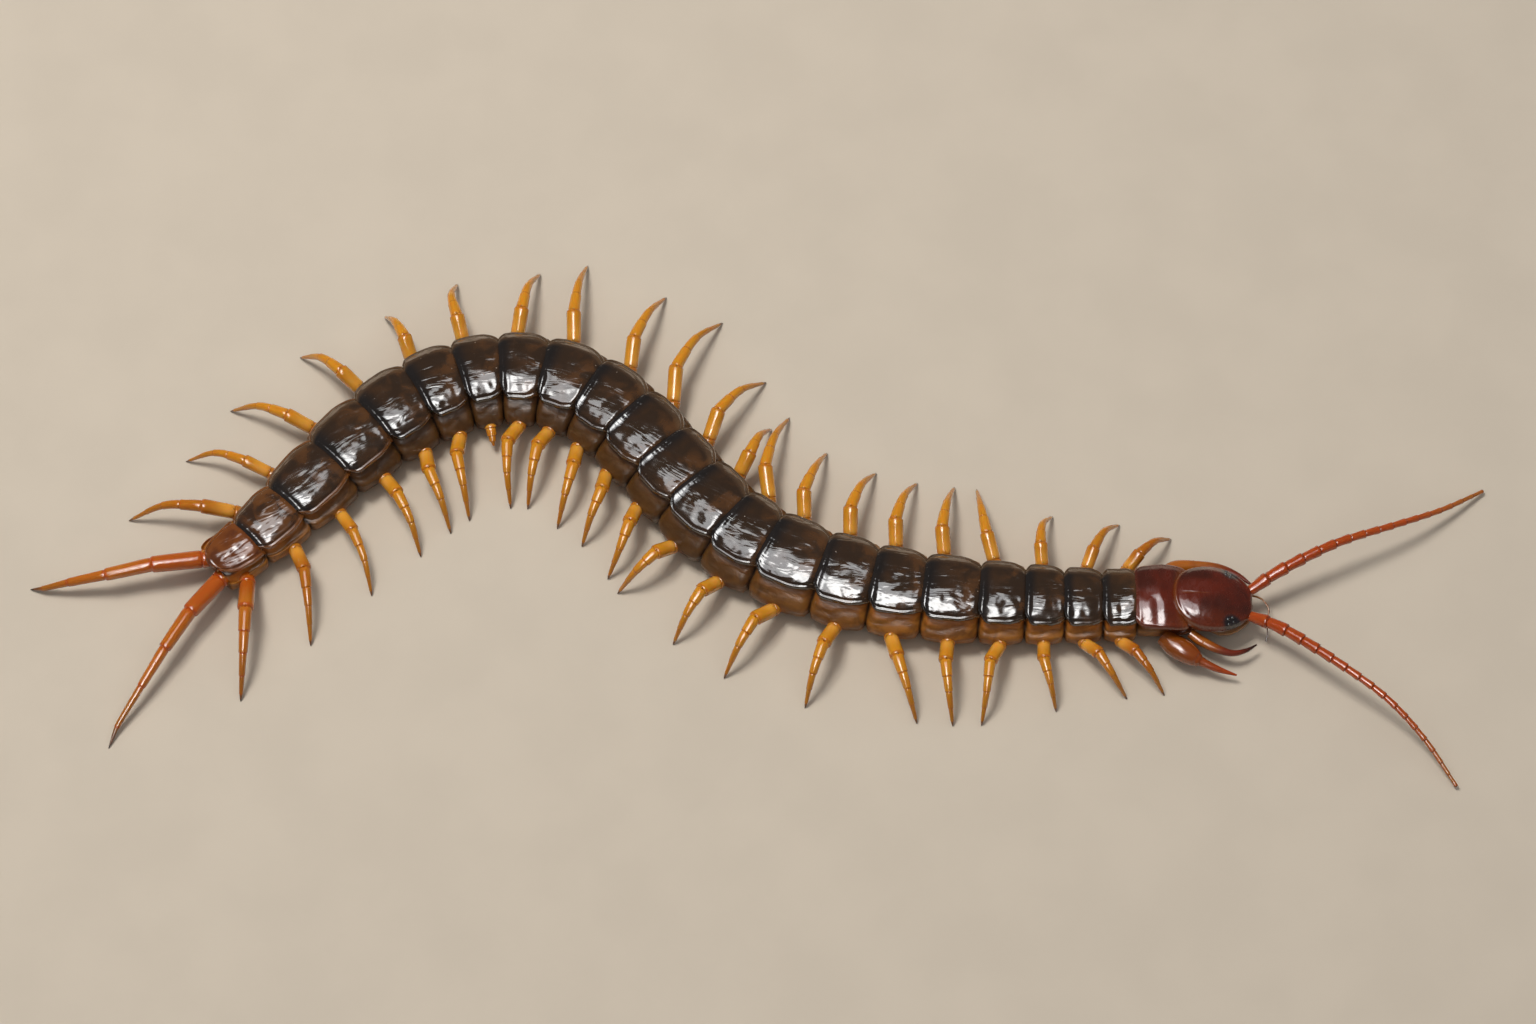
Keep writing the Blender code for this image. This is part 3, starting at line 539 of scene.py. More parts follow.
class CentipedeShape(bpy.types.PropertyGroup):
    """Fine sizes of the shell and skin, in millimetres, and two counts of the limbs."""
    thickness: bpy.props.FloatProperty(
        name="Plate thickness", description="Edge of a back plate", default=0.26, min=0.1, max=0.6)
    front_dip: bpy.props.FloatProperty(
        name="Front dip", description="Depth of a plate's front edge under the one before",
        default=0.5, min=0.2, max=0.8)
    rear_dip: bpy.props.FloatProperty(
        name="Rear dip", description="Fall of a plate at its rear edge", default=0.12, min=0.0, max=0.5)
    bead: bpy.props.FloatProperty(
        name="Rim bead", description="Height of the raised rim", default=0.09, min=0.0, max=0.2)
    margin: bpy.props.FloatProperty(
        name="Rear margin", description="Height of the swollen rear margin", default=0.10, min=0.0, max=0.2)
    wave: bpy.props.FloatProperty(
        name="Plate wave", description="Uneven swelling of the plates", default=0.13, min=0.0, max=0.2)
    fold: bpy.props.FloatProperty(
        name="Skin fold", description="Depth of the folds of the flank", default=0.17, min=0.0, max=0.3)
    feeler_articles: bpy.props.IntProperty(
        name="Feeler articles", description="Articles of each antenna", default=17, min=8, max=30)
    limb_sides: bpy.props.IntProperty(
        name="Limb sides", description="Faces round a limb", default=16, min=8, max=32)


class CentipedeColours(bpy.types.PropertyGroup):
    """Main colours, as linear light."""
    dark: bpy.props.FloatVectorProperty(
        name="Dark shell", description="Back plates", default=(0.030, 0.0150, 0.0068), subtype="COLOR")
    warm: bpy.props.FloatVectorProperty(
        name="Warm shell", description="Thin patches of the back plates", default=(0.095, 0.038, 0.011),
        subtype="COLOR")
    # Darker rear band of the back plates with a painted cool reflection on it; the eyes take it as their own
    # colour.
    steel_and_reflection: bpy.props.FloatVectorProperty(
        name="Steel shell", description="Rear part of the back plates", default=(0.0055, 0.0068, 0.0085),
        subtype="COLOR")
    # Lighter far margin of the back plates: a painted grazing reflection over the margin's own warm brown.
    far_flange_sheen: bpy.props.FloatVectorProperty(
        name="Flange", description="Outer margin of the back plates", default=(0.105, 0.058, 0.028),
        subtype="COLOR")
    maroon: bpy.props.FloatVectorProperty(
        name="Maroon", description="Head and first plate", default=(0.115, 0.0125, 0.0030), subtype="COLOR")
    amber: bpy.props.FloatVectorProperty(
        name="Amber", description="Legs", default=(0.64, 0.265, 0.014), subtype="COLOR")
    red: bpy.props.FloatVectorProperty(
        name="Red", description="Antennae and rear legs", default=(0.42, 0.070, 0.008), subtype="COLOR")
    flank: bpy.props.FloatVectorProperty(
        name="Flank", description="Soft skin between plates and legs", default=(0.37, 0.140, 0.016),
        subtype="COLOR")


class CentipedeStage(bpy.types.PropertyGroup):
    """Camera, floor and lights."""
    elevation: bpy.props.FloatProperty(
        name="Elevation", description="Camera above the horizon", default=math.radians(65), subtype="ANGLE")
    lens: bpy.props.FloatProperty(name="Lens", description="Focal length in millimetres", default=100.0)
    view_width: bpy.props.FloatProperty(
        name="View width", description="Width of floor in view", default=0.17664, unit="LENGTH")
    key: bpy.props.FloatProperty(
        name="Key light", description="Power of the lamp that casts the shadows", default=2.6, unit="POWER")
    fill: bpy.props.FloatProperty(
        name="Fill light", description="Power of the wide lamp that softens the shadows",
        default=4.8, unit="POWER")
    sheen: bpy.props.FloatProperty(
        name="Sheen panel", description="Power of the large panel seen in the gloss",
        default=2.3, unit="POWER")
    core: bpy.props.FloatProperty(
        name="Core panel", description="Power of the small panel seen in the gloss",
        default=1.6, unit="POWER")
    front: bpy.props.FloatProperty(
        name="Front panel", description="Power of the low panel seen in the limbs", default=0.6, unit="POWER")
    sky: bpy.props.FloatProperty(name="Sky", description="Strength of the even light", default=0.09)
    floor: bpy.props.FloatVectorProperty(
        name="Floor", description="Floor colour", default=(0.60, 0.53, 0.44), subtype="COLOR")


def lerp(a, b, t):
    """Number or vector a share t of the way from a to b."""
    return a + (b - a) * t


def table(x, rows, column=1):
    """Straight-line reading of one column of a table whose first column is the position."""
    for low, high in zip(rows, rows[1:]):
        if x <= high[0]:
            return lerp(low[column], high[column], max(0.0, (x - low[0]) / (high[0] - low[0])))
    return rows[-1][column]


def smooth(x):
    """Smooth step of a number held between 0 and 1."""
    x = min(1.0, max(0.0, x))
    return x * x * (3 - 2 * x)


def bump(x, width):
    """Bell of height 1 about zero."""
    return math.exp(-(x / width) ** 2)


def ridge(x, line):
    """Bell of height 1 over a line, which is given by its place and width."""
    middle, width = line
    return bump(x - middle, width)


def fade(x, width, power=2):
    """Fall from 1 at zero to 0 at width."""
    return max(0.0, 1 - x / width) ** power


def past(x, start, width, power=1):
    """Rise from 0 at start to 1 a width further on."""
    return max(0.0, (x - start) / width) ** power


def roll(x, edge):
    """Fall towards an edge at zero, which is given by its depth and width."""
    depth, width = edge
    return depth * fade(x, width)


def uneven(x, y, z):
    """Smooth noise, from -1 to 1, at a place."""
    return noise.noise(Vector((x, y, z)))


def heading(degrees):
    """Unit vector in plan."""
    angle = math.radians(degrees)
    return Vector((math.cos(angle), math.sin(angle), 0.0))


def arc(angle, length, turn):
    """Chord of an arc that leaves along angle and turns evenly over its length."""
    half = math.radians(turn) / 2
    chord = length * (math.sin(half) / half if half else 1.0)
    return heading(angle + turn / 2) * chord


def spine():
    """Where each plate starts: its point in plan and the tailward heading there."""
    starts = []
    point = Vector((NECK[0] - CENTRE[0], NECK[1] - CENTRE[1], 0.0))
    angle = TAILWARD
    for length, turn, _ in SEGMENTS:
        starts.append((point, angle))
        point = point + arc(angle, length, turn)
        angle += turn
    return starts


SPINE = spine()


def station(number, t):
    """Point on the body's plan line, and tailward and far-side directions, at t of a plate."""
    length, turn, _ = SEGMENTS[number - 1]
    point, angle = SPINE[number - 1]
    point = point + arc(angle, length * t, turn * t)
    tailward = heading(angle + turn * t)
    return point, tailward, Vector((tailward.y, -tailward.x, 0.0))


def half_width(number, t):
    """Half-width of the plates, running smoothly from plate to plate."""
    rows = [(k + 1.5, row[2]) for k, row in enumerate(SEGMENTS)]
    return table(number + t, [(1.0, SEGMENTS[0][2])] + rows)


def rim_height(width):
    """Height of a plate's rim over the floor."""
    return RIM_HEIGHT + RIM_HEIGHT_PER_WIDTH * (width - STANDARD)


def flank(number, t, side, pinch=PINCH):
    """Half-width of the body at the legs' roots; side is -1 for near and 1 for far."""
    if number == 1:
        return NECK_FLANK
    bulge = table(number + t - 0.5, NEAR_BULGE if side < 0 else FAR_BULGE)
    return (half_width(number, t) + bulge) * (1.0 - pinch * abs(2 * t - 1) ** 6)


def attach_of(number, side):
    """Place of a leg's root along its plate."""
    if side < 0:
        return LAST_ATTACH if number == LAST else NEAR_ATTACH
    return min(FAR_ATTACH, FAR_ATTACH_FRONT + FAR_ATTACH_STEP * (number - 2))


def place(x, y, z):
    """Point of a limb, moved with the rest of the animal."""
    return Vector((x - CENTRE[0], y - CENTRE[1], z))


def spline(points, steps):
    """Smooth curve through a few points; each point is a Vector or a plain number."""
    rows = [points[0] * 2 - points[1]] + list(points) + [points[-1] * 2 - points[-2]]
    curve = []
    for a, b, c, d in zip(rows, rows[1:], rows[2:], rows[3:]):
        for i in range(steps):
            t = i / steps
            curve.append(0.5 * (2 * b + (c - a) * t + (2 * a - 5 * b + 4 * c - d) * t ** 2
                                + (3 * b - a - 3 * c + d) * t ** 3))
    curve.append(points[-1])
    return curve


def raised(at, z):
    """Point in plan at a height."""
    return Vector((at.x, at.y, z))


def layers(rows):
    """Rows of places taken apart: one grid for each part, such as upper points or marks."""
    return [[[spot[k] for spot in row] for row in rows] for k in range(len(rows[0][0]))]


class Shell:
    """Points, faces, marks and tones of one piece while it is built.

    A mark says where a point lies on its piece, and a tone varies the finish there.
    """

    def __init__(self):
        self.points = []
        self.faces = []
        self.marks = []
        self.tones = []

    def grid(self, rows, marks, tones=None, round_trip=False, flip=False):
        """Rows of points joined by quads; round_trip closes each row on itself."""
        first = len(self.points)
        count = len(rows[0])
        for r, row in enumerate(rows):
            self.points += row
            self.marks += marks[r]
            self.tones += tones[r] if tones else [0.0] * count
        span = count if round_trip else count - 1
        for r in range(len(rows) - 1):
            for i in range(span):
                j = (i + 1) % count
                a, b = first + r * count, first + (r + 1) * count
                quad = (a + i, a + j, b + j, b + i)
                self.faces.append(quad[::-1] if flip else quad)
        return first

    def fan(self, start, count, point, mark, flip=False):
        """Close a ring of count points with a fan to one point."""
        middle = len(self.points)
        self.points.append(point)
        self.marks.append(mark)
        self.tones.append(0.0)
        for i in range(count):
            tri = (start + i, middle, start + (i + 1) % count)
            self.faces.append(tri[::-1] if flip else tri)

    def tube(self, rings, marks, tones=None):
        """Closed tube through rings of points, with a fan at both ends."""
        count = len(rings[0])
        first = self.grid(rings, marks, tones, round_trip=True)
        head = sum(rings[0], Vector()) / count
        tail = sum(rings[-1], Vector()) / count
        self.fan(first, count, head, marks[0][0])
        self.fan(first + (len(rings) - 1) * count, count, tail, marks[-1][0], flip=True)

    def slab(self, rows):
        """Closed sheet, walled round its edge; a place is its upper and under point, mark and tone."""
        top, bottom, marks, tones = layers(rows)
        end, count = len(rows) - 1, len(rows[0])
        a = self.grid(top, marks, tones)
        b = self.grid(bottom, marks, tones, flip=True)
        edge = [(0, i) for i in range(count)]
        edge += [(r, count - 1) for r in range(1, end + 1)]
        edge += [(end, i) for i in range(count - 2, -1, -1)]
        edge += [(r, 0) for r in range(end - 1, 0, -1)]
        for (r0, i0), (r1, i1) in zip(edge, edge[1:] + edge[:1]):
            p, q = r0 * count + i0, r1 * count + i1
            self.faces.append((a + q, a + p, b + p, b + q))

    def piece(self, name, mat, nodes=(), sharp=50.0):
        """Make the mesh object and give it to the frame."""
        mesh = bpy.data.meshes.new(name)
        mesh.from_pydata([point * MM for point in self.points], [], self.faces)
        store(mesh, "place", self.marks)
        store(mesh, "tone", self.tones)
        mesh.validate()
        mesh.materials.append(mat)
        settle(shown(name, mesh), nodes, sharp)


def store(mesh, name, values):
    """Keep a number or a vector for each point of a mesh, for its material and its nodes."""
    whole = isinstance(values[0], float)
    data = mesh.attributes.new(name, "FLOAT" if whole else "FLOAT_VECTOR", "POINT").data
    data.foreach_set("value" if whole else "vector", np.array(values, np.float32).ravel())


def shown(name, data):
    """New object in the scene."""
    obj = bpy.data.objects.new(name, data)
    bpy.context.scene.collection.objects.link(obj)
    return obj


def settle(obj, nodes=(), sharp=50.0):
    """Shade a finished piece and hand it to the frame."""
    obj.data.shade_smooth()
    obj.data.set_sharp_from_angle(angle=math.radians(sharp))
    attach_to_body(obj, "root")
    if nodes:
        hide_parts(*nodes)


def put(tree, kind, inputs=None, **settings):
    """Add a node; an input given a socket is linked, and any other value is set."""
    node = tree.nodes.new(kind)
    for name, value in settings.items():
        setattr(node, name, value)
    for key, value in (inputs or {}).items():
        if isinstance(value, bpy.types.NodeSocket):
            tree.links.new(value, node.inputs[key])
        else:
            node.inputs[key].default_value = value
    return node


def colour(value):
    """Colour with its alpha, or the socket that was given."""
    if isinstance(value, bpy.types.NodeSocket):
        return value
    return (*value[:3], 1.0)


def mix(tree, factor, a, b):
    """Blend of two colours."""
    return put(tree, "ShaderNodeMix", {0: factor, 6: colour(a), 7: colour(b)}, data_type="RGBA").outputs[2]


def sums(tree, kind, a, b=0.0, c=0.0):
    """One step of arithmetic."""
    return put(tree, "ShaderNodeMath", {0: a, 1: b, 2: c}, operation=kind).outputs[0]


def product(tree, *factors):
    """All the factors multiplied."""
    result = factors[0]
    for factor in factors[1:]:
        result = sums(tree, "MULTIPLY", result, factor)
    return result


def between(tree, value, low, high, start=0.0, end=1.0):
    """Smooth change from start to end as value goes from low to high."""
    inputs = {"Value": value, "From Min": low, "From Max": high, "To Min": start, "To Max": end}
    return put(tree, "ShaderNodeMapRange", inputs, interpolation_type="SMOOTHSTEP").outputs[0]


def grain(tree, vector, scale, detail=3.0, distortion=0.0, roughness=0.5):
    """Value of a noise texture."""
    inputs = {"Vector": vector, "Scale": scale, "Detail": detail, "Distortion": distortion,
              "Roughness": roughness}
    return put(tree, "ShaderNodeTexNoise", inputs).outputs[0]


def stretched(tree, vector, scale):
    """Vector scaled apart along its three axes."""
    return put(tree, "ShaderNodeMapping", {"Vector": vector, "Scale": scale}).outputs[0]


class Finish:
    """A material under way: its tree, its places on the piece, its shader and its colour so far."""

    def __init__(self, name, base, **constants):
        mat = bpy.data.materials.new(name)
        mat.use_nodes = True
        self.tree = mat.node_tree
        self.shader = self.tree.nodes["Principled BSDF"]
        for key, value in constants.items():
            socket = key.replace("_", " ").title().replace("Ior", "IOR")
            self.shader.inputs[socket].default_value = value
        self.object = put(self.tree, "ShaderNodeTexCoord").outputs["Object"]
        self.place = put(self.tree, "ShaderNodeAttribute", attribute_name="place").outputs["Vector"]
        parts = put(self.tree, "ShaderNodeSeparateXYZ", {0: self.place}).outputs
        self.along, self.across, self.edge = parts[:3]
        self.tone = put(self.tree, "ShaderNodeAttribute", attribute_name="tone").outputs["Fac"]
        self.base = base

    def lay(self, shade, factor):
        """Lay a shade over the colour so far by a factor."""
        self.base = mix(self.tree, factor, self.base, shade)

    def blend(self, shade, value, low, high, share=1.0):
        """Lay a shade where value goes from low to high, up to a share."""
        self.lay(shade, between(self.tree, value, low, high, 0.0, share))

    def pits(self, scale, size, share):
        """Factor of sparse round dots: their cells per metre, size in cells and share of cells."""
        t = self.tree
        cells = put(t, "ShaderNodeTexVoronoi", {"Vector": self.object, "Scale": scale})
        picked = put(t, "ShaderNodeSeparateXYZ", {0: cells.outputs["Color"]}).outputs[0]
        chosen = between(t, picked, 1 - share, 1 - share + 0.01)
        return product(t, between(t, cells.outputs["Distance"], size, size * 0.4), chosen)

    def done(self, roughness, height=None, distance=0.00003):
        """Join colour, roughness and bump, whose depth is distance, to the shader."""
        self.tree.links.new(self.base, self.shader.inputs["Base Color"])
        self.tree.links.new(roughness, self.shader.inputs["Roughness"])
        if height is not None:
            inputs = {"Height": height, "Distance": distance, "Strength": 1.0}
            normal = put(self.tree, "ShaderNodeBump", inputs).outputs[0]
            self.tree.links.new(normal, self.shader.inputs["Normal"])
            self.tree.links.new(normal, self.shader.inputs["Coat Normal"])


def dark_shell(c):
    """Polished near-black plates: warm thin patches, a dark rear, painted reflections and fine long streaks.

    Along runs down each plate, across from its near to its far side, edge is the distance from
    the side edges and tone marks the paler last plates.
    """
    f = Finish("dark_shell", c.dark, ior=1.6, coat_weight=0.8, coat_roughness=0.09)
    t = f.tree
    clouds = grain(t, f.object, 430.0, 3.0, 0.5)
    front = between(t, f.along, 0.7, 0.1, 0.25, 1.0)
    f.lay(c.warm, product(t, between(t, clouds, 0.42, 0.68), front, 0.9))
    # Darker rear band of each plate with a painted cool sky reflection on it, left off the last plate.
    rear = between(t, f.along, 0.66, 0.92, 0.0, 0.75)
    f.lay(c.steel_and_reflection, product(t, rear, between(t, f.tone, 0.95, 0.8)))
    # Painted grazing reflection: the outer margin is made lighter on the far side only.
    f.lay(c.far_flange_sheen, product(t, between(t, f.across, 0.60, 0.80), between(t, f.edge, 0.02, 0.25), 0.75))
    thin = mix(t, between(t, clouds, 0.40, 0.60), THIN_DEEP, THIN_CLEAR)
    unseamed = sums(t, "MAXIMUM", between(t, f.along, 0.97, 0.8), between(t, f.tone, 0.8, 0.95))
    f.lay(thin, product(t, between(t, f.tone, 0.1, 1.0), unseamed))
    f.blend(LAST_PLATE_SHADE, f.tone, 0.7, 1.0, 0.5)
    f.lay(CLEAR_RIM, product(t, between(t, f.edge, 0.55, 0.1), between(t, f.tone, 0.02, 0.2), 0.7))
    # Pale specks on the raised pits: their own pale colour with a painted glint.
    pit = f.pits(800.0, 0.075, 0.30)
    f.lay(PIT_SPECK_AND_GLINT, product(t, pit, 0.6))
    slant = stretched(t, f.object, (420.0, 420.0, 0.0))
    shift = put(t, "ShaderNodeVectorMath", {0: slant, 1: stretched(t, f.place, (1.0, 2.6, 0.0))}).outputs[0]
    streaks = grain(t, shift, 1.0, 2.0, 1.1, 0.5)
    swell = grain(t, f.object, 620.0, 1.0)
    inner = between(t, f.edge, 0.15, 0.7)
    roughness = sums(t, "ADD", between(t, streaks, 0.35, 0.7, 0.11, 0.24), product(t, f.tone, 0.02))
    height = sums(t, "ADD", product(t, streaks, inner, 1.1), product(t, swell, inner, 1.3))
    f.done(roughness, sums(t, "ADD", height, product(t, pit, 0.15)), 0.00009)


def maroon_shell(c):
    """Polished dark red head shield and first plate, amber at the rear and dark at the eyes.

    A tone below zero marks the clear rear rim and above zero the eyes' dark patches.
    """
    f = Finish("maroon_shell", MAROON_DEEP, ior=1.55, coat_weight=0.8, coat_roughness=0.07)
    t = f.tree
    clouds = grain(t, f.object, 250.0, 2.0, 0.4)
    f.blend(c.maroon, clouds, 0.33, 0.66)
    # Painted light: the near side of the head and first plate is made lighter red.
    f.blend(MAROON_NEAR_SIDE_LIGHT, f.across, -0.30, -0.95, 0.6)
    f.blend(MAROON_RIM, f.edge, 0.42, 0.1, 0.55)
    f.lay(MAROON_REAR, product(t, between(t, f.tone, -0.2, -0.9), 0.8))
    f.blend(EYE_PATCH, f.tone, 0.2, 0.65, 0.92)
    # Pale specks on the head's pits: their own pale colour with a painted glint.
    f.lay(HEAD_PIT_SPECK_AND_GLINT, product(t, f.pits(700.0, 0.06, 0.25), 0.2))
    wrinkles = grain(t, stretched(t, f.object, (1.0, 0.6, 1.0)), 1250.0, 2.5, 0.9, 0.55)
    rough = product(t, between(t, f.across, 0.1, -0.25), between(t, f.edge, 0.3, 1.2))
    swell = grain(t, f.object, 420.0, 1.5)
    fine = product(t, wrinkles, sums(t, "MULTIPLY_ADD", rough, 0.6, 0.15))
    height = sums(t, "ADD", product(t, swell, 0.9), fine)
    f.done(between(t, wrinkles, 0.3, 0.7, 0.17, 0.32), height, 0.00005)


def flank_skin(c):
    """Amber-brown skin between the plates and the legs, with fine folds and dark seams.

    Along is the distance from the neck in millimetres, across runs from the middle of the belly
    to the middle of the back, and edge is the distance from the seam between two segments.
    """
    f = Finish("flank_skin", FLANK_DEEP, ior=1.4, coat_weight=0.12, coat_roughness=0.2,
               subsurface_weight=0.15, subsurface_scale=0.0006, subsurface_radius=(1.0, 0.4, 0.15))
    t = f.tree
    clouds = grain(t, f.object, 420.0, 3.0, 0.8)
    f.blend(c.flank, clouds, 0.3, 0.7)
    f.blend(FLANK_CLEAR, f.across, 0.58, 0.72, 0.8)
    f.lay(FLANK_MIDDLE, product(t, between(t, f.along, 26.0, 56.0), between(t, f.along, 124.0, 106.0), 0.88))
    # Painted shadow: the skin just under the plates' rims is made near-black.
    f.blend(SHADOW_UNDER_PLATES, f.across, 0.70, 0.82, 0.9)
    f.blend(LEG_ROOT_GLOW, f.tone, -0.2, -0.9, 0.85)
    f.blend(SEAM_SHADE, f.edge, 0.28, 0.0, 0.85)
    f.blend(HEAD_SKIN, f.tone, 0.2, 1.0)
    folds = grain(t, stretched(t, f.place, (0.7, 14.0, 0.0)), 1.1, 3.0, 1.1, 0.55)
    leather = grain(t, f.object, 2300.0, 2.0)
    # Painted shadow: darker where the folds' bump is low.
    f.blend(FOLD_HOLLOW_SHADOW, folds, 0.62, 0.3, 0.22)
    height = sums(t, "ADD", product(t, folds, 0.7), product(t, leather, 0.2))
    f.done(between(t, folds, 0.3, 0.7, 0.30, 0.46), height, 0.00007)


def limb_finish(name, gloss, plain, root, tip, collar, sunk=None):
    """Clear, waxy limb: root to tip shades, a darker collar where each article ends.

    Along runs down the whole limb, across down each article, and tone reddens the limb. Sunk is
    the shade where a leg comes out of the flank.
    """
    f = Finish(name, plain, ior=1.5, coat_weight=0.7, coat_roughness=0.04, subsurface_weight=0.4,
               subsurface_scale=0.0007, subsurface_radius=(1.0, 0.35, 0.1))
    t = f.tree
    clouds = grain(t, f.object, 800.0, 3.0, 0.5)
    f.blend(collar, f.tone, 0.0, 1.0)
    f.blend(root, f.along, 0.50, 0.30, 0.9)
    f.blend(tip, f.along, 0.62, 1.0)
    f.blend(collar, clouds, 0.4, 0.75, 0.07)
    if sunk:
        f.blend(sunk, f.along, 0.33, 0.23, 0.75)
    ends = sums(t, "MAXIMUM", between(t, f.across, 0.915, 0.955), between(t, f.across, 0.06, 0.02))
    f.lay(collar, product(t, ends, 0.6))
    ridges = grain(t, f.object, 1500.0, 2.0, 0.3)
    f.done(between(t, ridges, 0.3, 0.7, gloss, gloss + 0.08), ridges, 0.000012)


def horn_finish(name, root, middle, tip):
    """Polished horn from a clear root to a dark point."""
    f = Finish(name, root, ior=1.55, coat_weight=0.7, coat_roughness=0.06, subsurface_weight=0.1,
               subsurface_scale=0.0004, subsurface_radius=(1.0, 0.3, 0.1))
    t = f.tree
    clouds = grain(t, f.object, 1100.0, 3.0)
    f.blend(middle, f.along, 0.05, 0.45)
    f.blend(tip, f.along, 0.55, 0.95)
    f.blend(middle, clouds, 0.4, 0.75, 0.3)
    f.done(between(t, clouds, 0.3, 0.7, 0.14, 0.26), clouds, 0.00001)


def eye_glass(c):
    """Dark glassy bead."""
    f = Finish("eye_glass", c.steel_and_reflection, ior=1.6, coat_weight=1.0, coat_roughness=0.03)
    t = f.tree
    clouds = grain(t, f.object, 3000.0, 2.0)
    f.lay(EYE_GLINT, clouds)
    f.done(between(t, clouds, 0.0, 1.0, 0.05, 0.12))


def plate_share(v, far):
    """Half-width of a back plate at v of its length, as a share of its full half-width."""
    front, rear = FAR_TAPER if far else NEAR_TAPER
    return 1.0 - front * fade(v, 0.40, 1.7) - rear * past(v, 0.74, 0.26, 2.3)


def plate_fall(u):
    """Fall of a plate from its crown; on the far side it breaks down along a crease."""
    return abs(u) ** ARCH_POWER + CREASE_FALL * past(u, CREASE, 0.30, 1.3)


def plate_relief(v, y, width, length, gap, seed, shape):
    """Height added to a back plate: dips, rim bead, rear margin, sutures and swelling."""
    rear = (1 - v) * length
    begun = smooth(v / 0.12)
    z = -shape.front_dip * fade(v, FRONT_DIP_SPAN)
    z -= shape.rear_dip * fade(rear, REAR_DIP_WIDTH)
    z += PLATE_SWELL * math.sin(math.pi * min(1.0, max(0.0, v)))
    z -= roll(gap, EDGE_ROLL)
    z += shape.bead * ridge(gap, BEAD_LINE) * begun
    z -= BEAD_GROOVE_SHARE * shape.bead * ridge(gap, BEAD_GROOVE) * begun
    z += shape.margin * ridge(rear, MARGIN_LINE)
    z -= MARGIN_GROOVE_SHARE * shape.margin * ridge(rear, MARGIN_GROOVE)
    suture = bump(abs(y) - SUTURE_PLACE * width, SUTURE_WIDTH)
    z -= SUTURE_DEPTH * suture * smooth(v / 0.25) * smooth(rear / 0.8)
    if y < 0:
        z -= CORNER_DIP * max(0.0, 1 - (v * length / CORNER_LENGTH + gap / CORNER_WIDTH))
    inner = smooth((min(gap, rear) - 0.5) / 0.7)
    z += shape.wave * inner * uneven(v * 2.4 + seed, y * 0.5, seed * 3.1)
    z += RIPPLE_SHARE * shape.wave * inner * uneven(v * 7.0, y * 1.3 + seed, seed)
    return z


def spread(i, count):
    """Place from -1 to 1 of a point in a row, closer together at both ends."""
    even = 2 * i / (count - 1) - 1
    return lerp(even, math.sin(math.pi * even / 2), 0.75)


def crowded(r, rows):
    """Place from 0 to 1 of a row, closer together at both ends."""
    v = r / (rows - 1)
    return v - 0.111 * math.sin(2 * math.pi * v)


def back_plate(shell, number, shape, tone):
    """One back plate as a closed slab whose rear edge lies over the next one.

    Its marks are the shares of its length and of its half-width, and the distance from its side.
    """
    last = number == LAST
    length = SEGMENTS[number - 1][0]
    near_spread = 1 + REAR_PLATE_SPREAD * smooth((number - REAR_PLATES) / 3)
    rows = []
    for r in range(PLATE_ROWS):
        v = crowded(r, PLATE_ROWS)
        t = PLATE_START + PLATE_SPAN * v
        point, tailward, far = station(number, t)
        width = half_width(number, min(t, 1.0))
        rim = rim_height(width)
        arch = ARCH_PER_WIDTH * width
        row = []
        for i in range(PLATE_COLUMNS):
            u = spread(i, PLATE_COLUMNS)
            share = last_share(v) if last else plate_share(v, u > 0)
            if u < 0:
                share *= near_spread
            y = u * share * width
            gap = (1 - abs(u)) * share * width
            z = rim + arch - arch * plate_fall(u * min(1.0, share))
            z += plate_relief(v, y, width, length, gap, number * 1.7, shape)
            shift = REAR_BOW * u * u - REAR_CORNER * max(0.0, abs(u) - 0.75) / 0.25
            shift *= smooth((v - 0.5) / 0.5)
            if last:
                z += last_relief(v, y, gap)
                shift = LAST_BOW * (1 - u * u) * smooth((v - 0.4) / 0.6)
            at = raised(point + far * y + tailward * shift, z)
            drop = shape.thickness if gap < PLATE_EDGE else INNER_THICKNESS
            under = at - far * (UNDER_INSET * u) - UP * drop
            row.append((at, under, (v, u, gap), tone))
        rows.append(row)
    shell.slab(rows)


def last_share(v):
    """Half-width of the last plate, which keeps its width and then ends bluntly."""
    share = 1.0 - 0.10 * fade(v, 0.3) - 0.22 * past(v, 0.35, 0.65, 1.5)
    if v > 0.5:
        share *= 0.40 + 0.60 * math.sqrt(1 - ((v - 0.5) / 0.5) ** 2.6)
    return share


def last_relief(v, y, gap):
    """Middle keel of the last plate and its second rim line."""
    keel = KEEL * bump(y, 0.5) - 0.03 * bump(y + 0.75, 0.3)
    return keel * smooth((v - 0.05) / 0.4) + 0.05 * ridge(gap, SECOND_BEAD) * smooth(v / 0.2)


def skin_outline(number, t, side):
    """Half cross-section of the smooth skin, from the middle of the back to that of the belly."""
    width = half_width(number, t)
    rim = rim_height(width)
    top = rim + ARCH_PER_WIDTH * width
    out = flank(number, t, side, SKIN_PINCH)
    seam = bump(min(t, 1 - t), 0.07)
    inner = width * (1.0 - SEAM_CREASE * seam)
    top -= SKIN_DEPTH + SEAM_DEPTH * seam
    shoulder = rim - (FAR_SHOULDER_DROP if side > 0 else 0.0)
    return spline([Vector(corner) for corner in (
        (0.0, top),
        (0.55 * inner, top - 0.1),
        (0.84 * inner, shoulder - 0.35),
        (0.93 * inner, shoulder - 0.75),
        (lerp(0.93 * inner, out, 0.55), rim - 1.4),
        (out, HIP_HEIGHT + 0.9),
        (out + 0.08, HIP_HEIGHT),
        (out - 0.14, HIP_HEIGHT - 0.9),
        (out - 0.9, 0.78),
        (out * 0.55, 0.56),
        (0.0, BELLY_HEIGHT),
    )], OUTLINE_STEPS)


